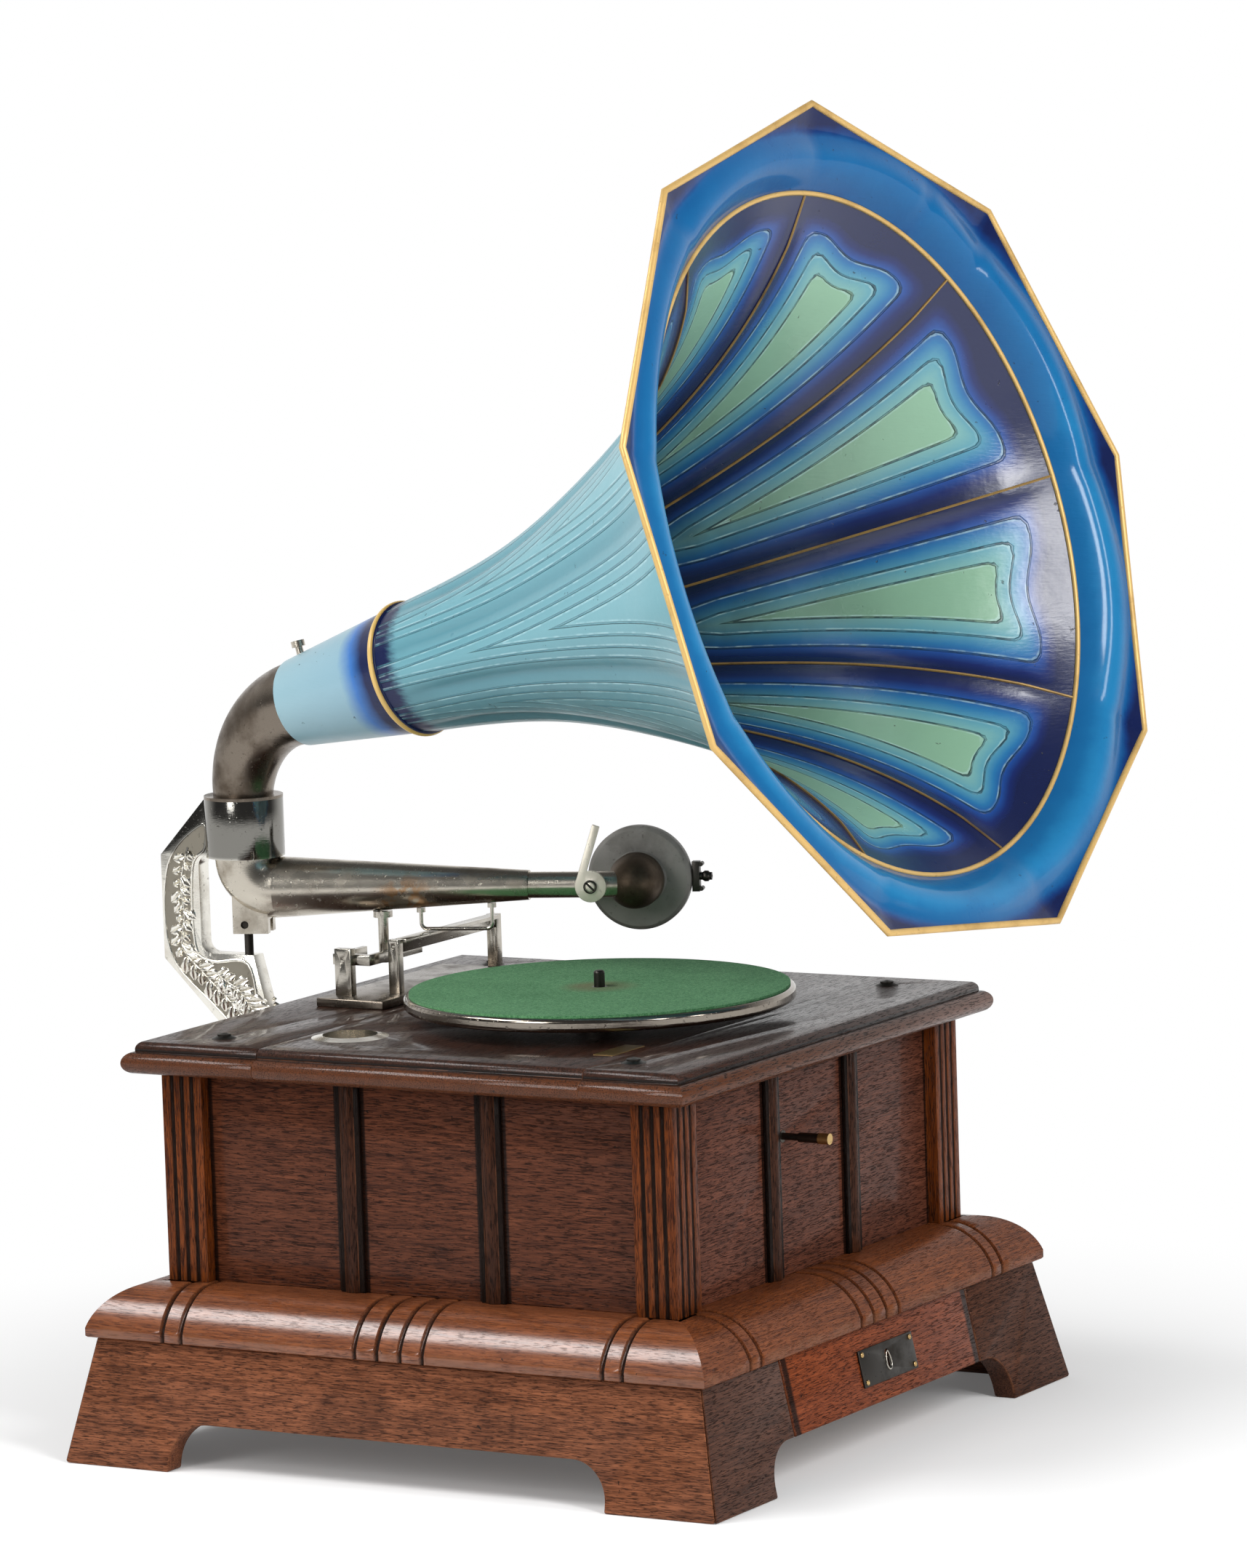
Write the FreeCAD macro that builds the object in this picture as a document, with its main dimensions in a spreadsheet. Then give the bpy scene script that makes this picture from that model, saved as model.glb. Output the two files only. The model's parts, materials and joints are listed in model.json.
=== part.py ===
"""Coin-operated phonograph with a nine-sided horn, as a parametric assembly.

Millimetres, +Z up. The front, with the coin drawer and the winding arbor, faces -Y. The pieces are
drawn about the middle of the case, and HOME then moves them all, so that the origin lies on the floor
under the middle of the whole object.
"""
import FreeCAD, Part
import math
import os
import re

import Sketcher

Vector = FreeCAD.Vector
Rotation = FreeCAD.Rotation
Placement = FreeCAD.Placement
X_AXIS = Vector(1, 0, 0)
Y_AXIS = Vector(0, 1, 0)
Z_AXIS = Vector(0, 0, 1)
QUARTER_TURN = 90.0
FULL_TURN = 360.0

SIZES = {
    # fits that serve all pieces
    "overrun": 5,
    "running_gap": 0.05,
    "clear_gap": 0.3,
    "sliding_gap": 0.5,
    # plinth on bracket feet, splayed outwards to the floor
    "foot_splay": 17.5,
    "plinth_top_side": 447,
    "plinth_height": 81,
    "plinth_wall": 16,
    "foot_width": 80,
    "arch_height": 31,
    "arch_round": 26,
    # shoulder moulding between plinth and body
    "shoulder_side": 458,
    "shoulder_height": 33,
    "shoulder_lip": 6,
    "shoulder_ledge": 3,
    "shoulder_seat": 22,
    # body: reeded corner posts, sunk panels and mullions
    "case_side": 378,
    "body_height": 136,
    "post_side": 30,
    "reed_groove": 1.8,
    "reed_groove_round": 2.2,
    "panel_recess": 8,
    "panel_thickness": 10,
    "middle_panel": 87,
    "mullion_width": 17.5,
    "mullion_step": 3,
    "mullion_bead": 5,
    "mullion_bead_round": 6,
    "floor_thickness": 12,
    # top of three planks with a moulded edge
    "board_side": 415.6,
    "top_edge_step": 10.55,
    "nose_round": 7,
    "edge_quirk": 1.5,
    "edge_round": 5,
    "top_thickness": 20.3,
    "rear_seam_y": 108,
    "front_seam_y": -133,
    "top_screw_edge": 40.8,
    "top_screw_rear_y": 154,
    "top_screw_front_y": -150,
    "screw_washer_radius": 8,
    "screw_washer_height": 1.5,
    "screw_head_radius": 4.5,
    "screw_head_height": 2,
    "screw_shank_radius": 2.4,
    "screw_length": 36,
    "corner_block": 24,
    # needle cup and bare plate on the top
    "cup_x": -136,
    "cup_y": 78,
    "cup_flange_radius": 25,
    "cup_flange_height": 1.6,
    "cup_radius": 19,
    "cup_depth": 14,
    "cup_wall": 1.2,
    "plate_x": -130,
    "plate_y": -118,
    "plate_length": 40,
    "plate_width": 14,
    "plate_thickness": 0.6,
    # coin drawer
    "drawer_width": 250,
    "drawer_back_y": -20,
    "tray_width": 236,
    "tray_floor_height": 5,
    "tray_height": 38,
    "tray_wall": 6,
    "runner_width": 12,
    "runner_ledge": 12,
    "runner_setback": 7.5,
    "lock_plate_x": 6,
    "lock_plate_length": 72,
    "lock_plate_height": 24,
    "lock_plate_thickness": 1.4,
    "lock_plate_rise": 24,
    "keyhole_radius": 2.6,
    "keyhole_slot": 2.2,
    "keyhole_drop": 9,
    # turntable
    "spindle_x": -19.1,
    "spindle_y": -39.7,
    "platter_radius": 127,
    "platter_gap": 10.4,
    "platter_rim": 9,
    "platter_web": 3,
    "platter_wall": 4,
    "platter_edge_round": 3,
    "hub_radius": 14,
    "hub_gap": 1.6,
    "felt_radius": 126.5,
    "felt_thickness": 1.6,
    "spindle_radius": 3.6,
    "spindle_rise": 10.7,
    "spindle_shaft_radius": 5,
    # bracket that carries the horn and the tone arm behind the case
    "swivel_reach": 34.2,
    "collar_radius": 26.4,
    "collar_bore": 23.4,
    "collar_rise": 93,
    "collar_height": 39,
    "strut_reach": 64,
    "strut_width": 30,
    "strut_thickness": 12,
    "strut_top_drop": 40,
    "strut_bottom_rise": 22,
    "strut_heel_drop": 18,
    "arm_rest_rise": 26.7,
    "arm_rest_front": 7,
    "arm_rest_depth": 38,
    "arm_rest_lean": 10,
    "strut_inner_round": 8,
    "bracket_foot_width": 64,
    "bracket_foot_height": 56,
    "bracket_foot_thickness": 6,
    "bracket_foot_drop": 2,
    "bracket_screw_radius": 3,
    "bracket_screw_head": 5.5,
    "bracket_screw_head_height": 2.5,
    "bracket_screw_length": 22,
    "bracket_screw_inset": 10,
    "bracket_pin_depth": 14,
    # horn elbow
    "horn_yaw": -5.36,
    "horn_elevation": 15.19,
    "elbow_wall": 1.2,
    "elbow_radius": 20,
    "elbow_throat_radius": 28.2,
    "elbow_bend": 65,
    "elbow_run": 5.4,
    "elbow_spigot": 20,
    "elbow_flange_height": 2,
    "elbow_lap": 15,
    # horn, measured along its axis from the throat
    "horn_wall": 1.2,
    "throat_radius": 29.5,
    "throat_length": 100,
    "bell_start_radius": 43,
    "horn_ring_length": 9,
    "horn_ring_height": 3,
    "bell_first_length": 205,
    "bell_first_flare": 17,
    "bell_second_length": 285,
    "bell_second_flare": 28,
    "bell_third_length": 380,
    "bell_third_flare": 48,
    "bell_fourth_length": 440,
    "bell_fourth_flare": 48,
    "bell_end_length": 471.8,
    "bell_end_flare": 34.9,
    "rim_length": 491.9,
    "rim_width": 54.8,
    "rim_crown": 7,
    "rim_phase": 5.4,
    "horn_screw_radius": 2.5,
    "horn_screw_height": 9,
    "horn_screw_knob": 4.5,
    "horn_screw_knob_height": 4,
    "horn_screw_place": 8,
    # tone arm, measured from the swivel axis
    "arm_swing": 20,
    "arm_axis_rise": 71.7,
    "arm_elbow_radius": 20.5,
    "arm_elbow_bend": 21,
    "arm_neck_radius": 17.5,
    "arm_neck_height": 4,
    "arm_wall": 1.2,
    "arm_length": 192,
    "arm_end_radius": 9.9,
    "sleeve_radius": 8.7,
    "sleeve_wall": 1.2,
    "sleeve_overlap": 10,
    "crook_bend": 20,
    "soundbox_reach": 260.5,
    "crook_spigot": 8,
    "lift_axis_rise": 47.7,
    "pin_radius": 3,
    "trunnion_radius": 2.6,
    "trunnion_length": 18,
    "lug_width": 22,
    "lug_length": 24,
    "lug_drop": 6,
    "lug_slot": 8.4,
    "stem_place": 92,
    "stem_radius": 3.5,
    "stem_bottom_rise": 20.7,
    "stem_nut_radius": 6.5,
    "stem_nut_height": 4,
    "bail_start": 118,
    "bail_end": 166,
    "bail_rise": 42.8,
    "bail_wire_radius": 1.3,
    "bail_bend": 4,
    "bail_ear_radius": 3,
    "bail_ear_height": 3,
    # sound box
    "soundbox_radius": 34.8,
    "soundbox_depth": 12,
    "soundbox_wall": 2.5,
    "soundbox_lip": 6,
    "soundbox_hub_radius": 18.5,
    "soundbox_hub_length": 9,
    "soundbox_hub_round": 4,
    "diaphragm_thickness": 0.8,
    "diaphragm_recess": 3,
    "needle_block_length": 5,
    "needle_block_width": 20,
    "needle_block_depth": 7,
    "needle_bar_radius": 1.2,
    "needle_foot_radius": 3,
    "chuck_radius": 2.6,
    "chuck_length": 8,
    "needle_reach": 48.5,
    "needle_radius": 0.8,
    "needle_point": 4,
    # clamp lever beside the sleeve
    "clamp_place": 235,
    "clamp_radius": 10.5,
    "clamp_thickness": 2.4,
    "clamp_lever_length": 40,
    "clamp_lever_width": 5,
    "clamp_lean": 18,
    "clamp_screw_radius": 3,
    "clamp_screw_head": 1.5,
    "clamp_pin_radius": 2,
    # lift and trip gear on the rear plank
    "gear_plate_left": -35,
    "gear_plate_right": 125,
    "gear_plate_front": 116,
    "gear_plate_back": 168,
    "gear_plate_height": 5.7,
    "trip_post_x": -17.5,
    "trip_post_y": 155.5,
    "trip_post_width": 6,
    "trip_post_depth": 12.5,
    "trip_post_height": 31,
    "trip_pin_drop": 8,
    "trip_pin_radius": 1.6,
    "trip_arm_height": 7,
    "trip_front_y": 138.5,
    "trip_front_end": 52,
    "trip_back_y": 163.5,
    "trip_back_end": 23,
    "trip_prong": 3.5,
    "trip_bridge": 5,
    "rail_y": 128,
    "rail_left": 5,
    "rail_right": 124,
    "rail_top_rise": 41.2,
    "rail_depth": 9,
    "rail_blade": 4,
    "rail_width": 5,
    "rail_pin_radius": 1.5,
    "rail_post_width": 6,
    "rail_post_depth": 8,
    "rail_post_cheek": 3,
    # spring motor under the motor board
    "motor_left": -92,
    "motor_right": 52,
    "motor_front": -166,
    "motor_back": 0,
    "motor_plate": 4,
    "motor_drop": 118,
    "pillar_radius": 4,
    "pillar_inset": 8,
    "arbor_x": -35,
    "arbor_drop": 46,
    "arbor_radius": 4,
    "arbor_front_reach": 34,
    "arbor_sleeve_radius": 3.2,
    "arbor_tip_radius": 3.6,
    "arbor_tip_length": 8,
    "arbor_rod_radius": 2.3,
    "arbor_sleeve_length": 14,
    "ratchet_radius": 14,
    "ratchet_thickness": 4,
    "pawl_length": 26,
    "pawl_width": 5,
    "pawl_pin_radius": 2,
    "barrel_radius": 36,
    "barrel_length": 46,
    "cheek_width": 56,
    "cheek_rear_y": -84,
    "crown_radius": 38,
    "crown_face": 6,
    "bridge_lap": 5.5,
    "crown_plate": 3,
    "intermediate_radius": 2.5,
    "wheel_thickness": 4,
    "wheel_rise": 8,
    "pinion_height": 10,
    "governor_x": 21,
    "governor_y": -30,
    "governor_wheel_rise": 20,
    "governor_radius": 2,
    "governor_ball_radius": 8,
    "governor_collar_radius": 9,
    "governor_collar_height": 5,
    "governor_spring_width": 4,
    "governor_spring_thickness": 0.8,
    "governor_spring_span": 40,
    # coin way on the right-hand side
    "coin_y": -110,
    "coin_drop": 50,
    "coin_plate_height": 56,
    "coin_plate_width": 26,
    "coin_plate_thickness": 3,
    "coin_slot_height": 32,
    "coin_slot_width": 3.4,
    "chute_wall": 1.5,
    "chute_throat": 7,
    "chute_foot_x": 70,
    "coin_lever_rise": 56,
    "coin_lever_length": 60,
    "coin_lever_width": 5,
    "coin_lever_thickness": 2.5,
    "coin_lever_pin_radius": 2,
    "coin_lever_post_width": 8,
    "coin_lever_post_x": 101.2,
    "coin_window_length": 32,
    "coin_window_height": 22,
}
PETALS = 9
CROWN_TEETH = 40
CROWN_PINION_TEETH = 9
WHEEL_TEETH = 60
SPINDLE_PINION_TEETH = 12
GOVERNOR_WHEEL_TEETH = 48
GOVERNOR_PINION_TEETH = 8
RATCHET_TEETH = 14
GOVERNOR_BALLS = 3
REED_GROOVES = 3
# tooth form: heights in modules, thickness as shares of the pitch
ADDENDUM_SHARE = 0.8
DEDENDUM_SHARE = 1.15
TOOTH_ROOT_SHARE = 0.52
TOOTH_PITCH_SHARE = 0.4
TOOTH_TIP_SHARE = 0.2
RATCHET_DEPTH_SHARE = 0.16
# where a coin lever's pivot divides its length
LEVER_PIVOT_SHARE = 0.62

FLOOR_TOP = "(plinth_height + floor_thickness)"
BODY_FOOT = "(plinth_height + shoulder_height)"
BOARD_FOOT = "(plinth_height + shoulder_height + body_height)"
TOP = "(plinth_height + shoulder_height + body_height + top_thickness)"
FOOT_HALF = "(plinth_top_side / 2 + foot_splay)"
SPLAY = "(foot_splay / plinth_height)"
BELL_MARKS = ("bell_first", "bell_second", "bell_third", "bell_fourth", "bell_end")
MOUTH_RADIUS = "(bell_start_radius" + "".join(f" + {mark}_flare" for mark in BELL_MARKS) + ")"
RIM_RADIUS = f"({MOUTH_RADIUS} + rim_width)"
SWIVEL_Y = "(board_side / 2 + swivel_reach)"
RUNNER_FRONT = "(plinth_wall - plinth_top_side / 2 + runner_setback)"
MOTOR_TOP = f"({BOARD_FOOT} - motor_plate)"
MOTOR_FOOT = f"({BOARD_FOOT} - motor_drop)"
ARBOR_Z = f"({BOARD_FOOT} - arbor_drop)"
ARM_Z = f"({TOP} + arm_axis_rise)"
LIFT_Z = f"({TOP} + lift_axis_rise)"
ELBOW_Z = f"({TOP} + collar_rise + collar_height + elbow_flange_height)"
GEAR_Z = f"({TOP} + gear_plate_height)"
CHUTE_WIDTH = "(coin_slot_height + 2 * chute_wall)"
BRIDGE_Z = f"({ARBOR_Z} - barrel_radius / 2)"
WHEEL_Z = f"({MOTOR_FOOT} + motor_plate + wheel_rise)"
GOVERNOR_Z = f"({MOTOR_FOOT} + motor_plate + governor_wheel_rise)"
PAWL_X = "(arbor_x + pawl_length - pawl_width)"
PAWL_Z = f"({ARBOR_Z} + ratchet_radius + clear_gap + pawl_width / 2)"
SHAFT_FOOT = f"({MOTOR_FOOT} + motor_plate / 2 + running_gap)"

doc = FreeCAD.newDocument("CoinPhonograph")
sheet = doc.addObject("Spreadsheet::Sheet", "Sizes")
nodes = []


def fill_sheet():
    """Writes every driving size to the sheet under its own alias."""
    for row, (name, number) in enumerate(SIZES.items(), 1):
        sheet.set(f"A{row}", name)
        sheet.set(f"B{row}", str(number))
        sheet.setAlias(f"B{row}", name)
    doc.recompute()


def bound(text):
    """Turns the size names of a formula into references to the sheet."""
    return re.sub(r"[a-z_]{2,}", lambda word: f"Sizes.{word[0]}" if word[0] in SIZES else word[0], text)


def value(text):
    """Works out a formula of size names as a number."""
    return float(sheet.evalExpression(bound(text)))


def bind(thing, **formulas):
    """Binds properties of an object to formulas; a double underscore stands for a point."""
    for key, text in formulas.items():
        thing.setExpression(key.replace("__", "."), bound(text))


def move(thing, x, y, z):
    """Binds the place of an object to three formulas."""
    bind(thing, Placement__Base__x=x, Placement__Base__y=y, Placement__Base__z=z)
    return thing


def box(name, length, width, height, x, y, z):
    """A block from its lowest corner."""
    block = doc.addObject("Part::Box", name)
    bind(block, Length=length, Width=width, Height=height)
    return move(block, x, y, z)


def rod(name, radius, height, x, y, z, axis=Z_AXIS):
    """A cylinder from the middle of its first end, along an axis."""
    cylinder = doc.addObject("Part::Cylinder", name)
    cylinder.Placement = Placement(Vector(), Rotation(Z_AXIS, axis))
    bind(cylinder, Radius=radius, Height=height)
    return move(cylinder, x, y, z)


def cone(name, first, second, height, x, y, z, axis=Z_AXIS):
    """A truncated cone from the middle of its first end, along an axis."""
    taper = doc.addObject("Part::Cone", name)
    taper.Placement = Placement(Vector(), Rotation(Z_AXIS, axis))
    bind(taper, Radius1=first, Radius2=second, Height=height)
    return move(taper, x, y, z)


def fuse(name, *pieces):
    """Joins pieces to one solid."""
    joined = doc.addObject("Part::MultiFuse", name)
    joined.Shapes = list(pieces)
    joined.Refine = True
    return joined


def cut(name, base, *tools):
    """Takes tools away from a piece."""
    result = doc.addObject("Part::Cut", name)
    result.Base = base
    result.Tool = tools[0] if len(tools) == 1 else fuse(name + "Tools", *tools)
    return result


def common(name, *pieces):
    """Keeps what all pieces share."""
    shared = doc.addObject("Part::MultiCommon", name)
    shared.Shapes = list(pieces)
    return shared


def arc_between(start, end, radius, turn):
    """The lesser arc of a radius from start to end, turning left or right."""
    run = end - start
    side = Vector(-run.y, run.x, 0).normalize() * (1 if turn == "left" else -1)
    centre = (start + end) * 0.5 + side * math.sqrt(max(radius ** 2 - (run.Length / 2) ** 2, 0))
    first, last = (start, end) if turn == "left" else (end, start)
    angles = [math.atan2(point.y - centre.y, point.x - centre.x) for point in (first, last)]
    return Part.ArcOfCircle(Part.Circle(centre, Z_AXIS, radius), *angles)


def pin_down(sketch, edge, corner, formulas):
    """Holds one corner of a sketch at two formulas."""
    for axis, text in enumerate(formulas):
        if text == "0":
            sketch.addConstraint(Sketcher.Constraint("PointOnObject", edge, corner, axis - 2))
            continue
        kind = ("DistanceX", "DistanceY")[axis]
        row = sketch.addConstraint(Sketcher.Constraint(kind, edge, corner, value(text)))
        sketch.setExpression(f"Constraints[{row}]", bound(text))


def trace(sketch, outline):
    """Draws a closed outline of (x, y) corners; (x, y, radius, turn) is reached by an arc."""
    corners = [Vector(value(point[0]), value(point[1]), 0) for point in outline]
    ends = []
    for index, point in enumerate(outline):
        if len(point) == 2:
            sketch.addGeometry(Part.LineSegment(corners[index - 1], corners[index]), False)
            ends.append((1, 2))
        else:
            arc = arc_between(corners[index - 1], corners[index], value(point[2]), point[3])
            sketch.addGeometry(arc, False)
            ends.append((1, 2) if point[3] == "left" else (2, 1))
    for index, point in enumerate(outline):
        before = (index - 1) % len(outline)
        sketch.addConstraint(Sketcher.Constraint(
            "Coincident", before, ends[before][1], index, ends[index][0]))
        pin_down(sketch, index, ends[index][1], point[:2])
        if len(point) > 2:
            row = sketch.addConstraint(Sketcher.Constraint("Radius", index, value(point[2])))
            sketch.setExpression(f"Constraints[{row}]", bound(point[2]))


def sketch_in(body, role, outline):
    """A sketch of an outline on one of a body's own origin planes."""
    sketch = body.newObject("Sketcher::SketchObject", body.Name + "Sketch")
    plane = next(item for item in body.Origin.OriginFeatures if item.Role == role)
    sketch.AttachmentSupport = [(plane, "")]
    sketch.MapMode = "FlatFace"
    trace(sketch, outline)
    return sketch


def prism(name, role, outline, length):
    """A padded outline: XY goes up, XZ goes towards -Y and YZ goes towards +X."""
    body = doc.addObject("PartDesign::Body", name)
    pad = body.newObject("PartDesign::Pad", name + "Pad")
    pad.Profile = sketch_in(body, role, outline)
    bind(pad, Length=length)
    body.Tip = pad
    return body


def turned(name, outline):
    """A full turn about Z of an outline of (radius, height) corners."""
    body = doc.addObject("PartDesign::Body", name)
    sketch = sketch_in(body, "XZ_Plane", outline)
    turn = body.newObject("PartDesign::Revolution", name + "Turn")
    turn.Profile = sketch
    turn.ReferenceAxis = (sketch, ["V_Axis"])
    turn.Angle = FULL_TURN
    body.Tip = turn
    return body


def aim(thing, axis, x="0", y="0", z="0"):
    """Points a piece drawn along Z along another axis and puts its foot at a place."""
    thing.Placement = Placement(Vector(), Rotation(Z_AXIS, axis))
    return move(thing, x, y, z)


def solid(name, shape):
    """A piece whose shape is worked out from the sheet's sizes."""
    feature = doc.addObject("Part::Feature", name)
    feature.Shape = shape
    return feature


def group(name, pieces):
    """Several separate solids under one name."""
    gathered = doc.addObject("Part::Compound", name)
    gathered.Links = list(pieces)
    return gathered


def node(label, piece, place):
    """Names a finished sub-part and puts it in its place in the whole."""
    bound_places = [path for path, _ in piece.ExpressionEngine if "Placement" in path]
    if bound_places or not piece.Placement.isIdentity():
        piece = group(label + "_group", [piece])
    piece.Label = label
    piece.Placement = place
    nodes.append(piece)


def turn_about(angle, axis=Z_AXIS, x="0", y="0", z="0"):
    """A place turned about an axis, with its own origin moved to a point."""
    return Placement(Vector(value(x), value(y), value(z)), Rotation(axis, angle))


def horn_frame():
    """The place of the horn: its own Z runs from the throat to the mouth, its own Y points up."""
    lift = math.radians(value("horn_elevation"))
    bend = value("elbow_bend")
    run = value("elbow_run")
    reach = bend * (1 - math.sin(lift)) + run * math.cos(lift)
    rise = bend * math.cos(lift) + run * math.sin(lift)
    throat = Vector(0, -reach, value(ELBOW_Z) + rise)
    tilt = Rotation(X_AXIS, QUARTER_TURN - value("horn_elevation"))
    swivel = turn_about(value("horn_yaw"), y=SWIVEL_Y)
    return swivel.multiply(Placement(throat, tilt))


def rim_corner(index, radius, length):
    """A corner of the nine-sided rim, or a point on the ring inside it, in the horn's own frame."""
    angle = math.radians(value("rim_phase") + index * FULL_TURN / PETALS)
    return Vector(radius * math.sin(angle), radius * math.cos(angle), length)


def home_place():
    """Moves the middle of the case so that the whole object's box is centred on the origin."""
    frame = horn_frame()
    rim = [frame.multVec(rim_corner(index, value(RIM_RADIUS), value("rim_length")))
           for index in range(PETALS)]
    foot = value(FOOT_HALF)
    rear = value(f"{SWIVEL_Y} + strut_reach")
    across = [point.x for point in rim] + [-foot, foot]
    along = [point.y for point in rim] + [-foot, rear]
    return Placement(Vector(-(min(across) + max(across)) / 2, -(min(along) + max(along)) / 2, 0),
                     Rotation())


def mitre_wedge(name):
    """The quarter of the plan that one mitred side fills, opening towards +X."""
    reach = f"{FOOT_HALF} + overrun"
    wedge = prism(name, "XY_Plane", [("0", "0"), (reach, f"-({reach})"), (reach, reach)],
                  f"{TOP} + 2 * overrun")
    return move(wedge, "0", "0", "-overrun")


def side_run(name, profile):
    """A section drawn in XZ, run along Y and mitred at both corners of the case's right side."""
    bar = prism(name + "Bar", "XZ_Plane", profile, f"2 * {FOOT_HALF} + 2 * overrun")
    move(bar, "0", f"{FOOT_HALF} + overrun", "0")
    return common(name + "Run", bar, mitre_wedge(name + "Wedge"))


def side_place(quarter):
    """The place of a side drawn on the right: 0 right, 1 back, 2 left, 3 front."""
    return HOME.multiply(turn_about(quarter * QUARTER_TURN))


def foot_arch(name):
    """The opening between two bracket feet, through the right-hand board."""
    reach = f"({FOOT_HALF} - foot_width)"
    outline = [
        (f"-{reach}", "-overrun"),
        (f"-{reach}", "arch_height - arch_round"),
        (f"arch_round - {reach}", "arch_height", "arch_round", "right"),
        (f"{reach} - arch_round", "arch_height"),
        (reach, "arch_height - arch_round", "arch_round", "right"),
        (reach, "-overrun"),
    ]
    return prism(name, "YZ_Plane", outline, f"{FOOT_HALF} + overrun")


def plinth():
    """Four splayed boards; the front one is cut to a pair of feet beside the drawer."""
    profile = [
        (f"{FOOT_HALF} - plinth_wall", "0"),
        (FOOT_HALF, "0"),
        ("plinth_top_side / 2", "plinth_height"),
        ("plinth_top_side / 2 - plinth_wall", "plinth_height"),
    ]
    for quarter, label in enumerate(("plinth_right", "plinth_back", "plinth_left", "plinth_front_feet")):
        tools = [foot_arch(label + "Arch")]
        if label == "plinth_front_feet":
            tools.append(box(label + "Gap", f"{FOOT_HALF} + overrun", "drawer_width + 2 * sliding_gap",
                             "plinth_height + 2 * overrun", "0", "-drawer_width / 2 - sliding_gap",
                             "-overrun"))
        node(label, cut(label + "Board", side_run(label, profile), *tools), side_place(quarter))


def shoulder():
    """Four mitred lengths of rounded moulding that carry the body."""
    inner = "case_side / 2 - shoulder_seat"
    tread = "case_side / 2 + shoulder_ledge"
    width = f"(shoulder_side / 2 - {tread})"
    height = "(shoulder_height - shoulder_lip)"
    profile = [
        (inner, "plinth_height"),
        ("shoulder_side / 2", "plinth_height"),
        ("shoulder_side / 2", "plinth_height + shoulder_lip"),
        (tread, BODY_FOOT, f"({width} * {width} + {height} * {height}) / (2 * {height})", "left"),
        (inner, BODY_FOOT),
    ]
    runs = []
    for quarter in range(4):
        run = side_run(f"shoulder{quarter}", profile)
        run.Placement = turn_about(quarter * QUARTER_TURN)
        runs.append(run)
    node("shoulder_moulding", group("shoulder_group", runs), HOME)


def post_outline():
    """A square post at the case's +X +Y corner with hollow grooves down its two outer faces."""
    outer = "case_side / 2"
    inner = "(case_side / 2 - post_side)"
    outline = [(inner, inner), (outer, inner)]
    for index in range(1, REED_GROOVES + 1):
        middle = f"{inner} + post_side * {index} / {REED_GROOVES + 1}"
        outline.append((outer, f"{middle} - reed_groove"))
        outline.append((outer, f"{middle} + reed_groove", "reed_groove_round", "right"))
    outline.append((outer, outer))
    for index in range(REED_GROOVES, 0, -1):
        middle = f"{inner} + post_side * {index} / {REED_GROOVES + 1}"
        outline.append((f"{middle} + reed_groove", outer))
        outline.append((f"{middle} - reed_groove", outer, "reed_groove_round", "right"))
    outline.append((inner, outer))
    return outline


def corner_posts():
    """Four reeded posts."""
    posts = []
    for quarter in range(4):
        post = prism(f"corner_post{quarter}", "XY_Plane", post_outline(), "body_height")
        post.Placement = turn_about(quarter * QUARTER_TURN, z=BODY_FOOT)
        posts.append(post)
    node("corner_posts", group("corner_posts_group", posts), HOME)


def panels():
    """Four sunk panels between the posts, with holes for what passes through them."""
    run = "case_side - 2 * post_side"
    face = "case_side / 2 - panel_recess"
    for quarter, side in enumerate(("right", "back", "left", "front")):
        label = f"panel_{side}"
        board = box(label + "Board", "panel_thickness", run, "body_height",
                    f"{face} - panel_thickness", f"-({run}) / 2", BODY_FOOT)
        if side == "front":
            board = cut(label + "Holed", board, rod(
                label + "Hole", "arbor_radius + running_gap", "panel_thickness + 2 * overrun",
                f"{face} - panel_thickness - overrun", "arbor_x", ARBOR_Z, X_AXIS))
        if side == "right":
            board = cut(label + "Slotted", board, box(
                label + "Slot", "panel_thickness + 2 * overrun", "coin_slot_width", "coin_slot_height",
                f"{face} - panel_thickness - overrun", "coin_y - coin_slot_width / 2",
                f"{BOARD_FOOT} - coin_drop - coin_slot_height / 2"))
        if side == "back":
            board = cut(label + "Screwed", board, *[
                rod(f"{label}Hole{index}", "bracket_screw_radius", "panel_thickness + 2 * overrun",
                    f"{face} - panel_thickness - overrun", x, z, X_AXIS)
                for index, (x, z) in enumerate(bracket_screw_places())])
        node(label, board, side_place(quarter))


def mullions():
    """Two beaded strips on each panel, which divide it in three."""
    back = "case_side / 2 - panel_recess"
    step = f"{back} + mullion_step"
    half = "mullion_width / 2"
    outline = [
        (back, f"-{half}"),
        (step, f"-{half}"),
        (step, "-mullion_bead"),
        (step, "mullion_bead", "mullion_bead_round", "left"),
        (step, half),
        (back, half),
    ]
    strips = []
    for quarter in range(4):
        for sign in (-1, 1):
            strip = prism(f"mullion{quarter}{sign + 1}", "XY_Plane", outline, "body_height")
            offset = Vector(0, sign * value("(middle_panel + mullion_width) / 2"), value(BODY_FOOT))
            strip.Placement = turn_about(quarter * QUARTER_TURN).multiply(Placement(offset, Rotation()))
            strips.append(strip)
    node("mullions", group("mullions_group", strips), HOME)


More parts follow.
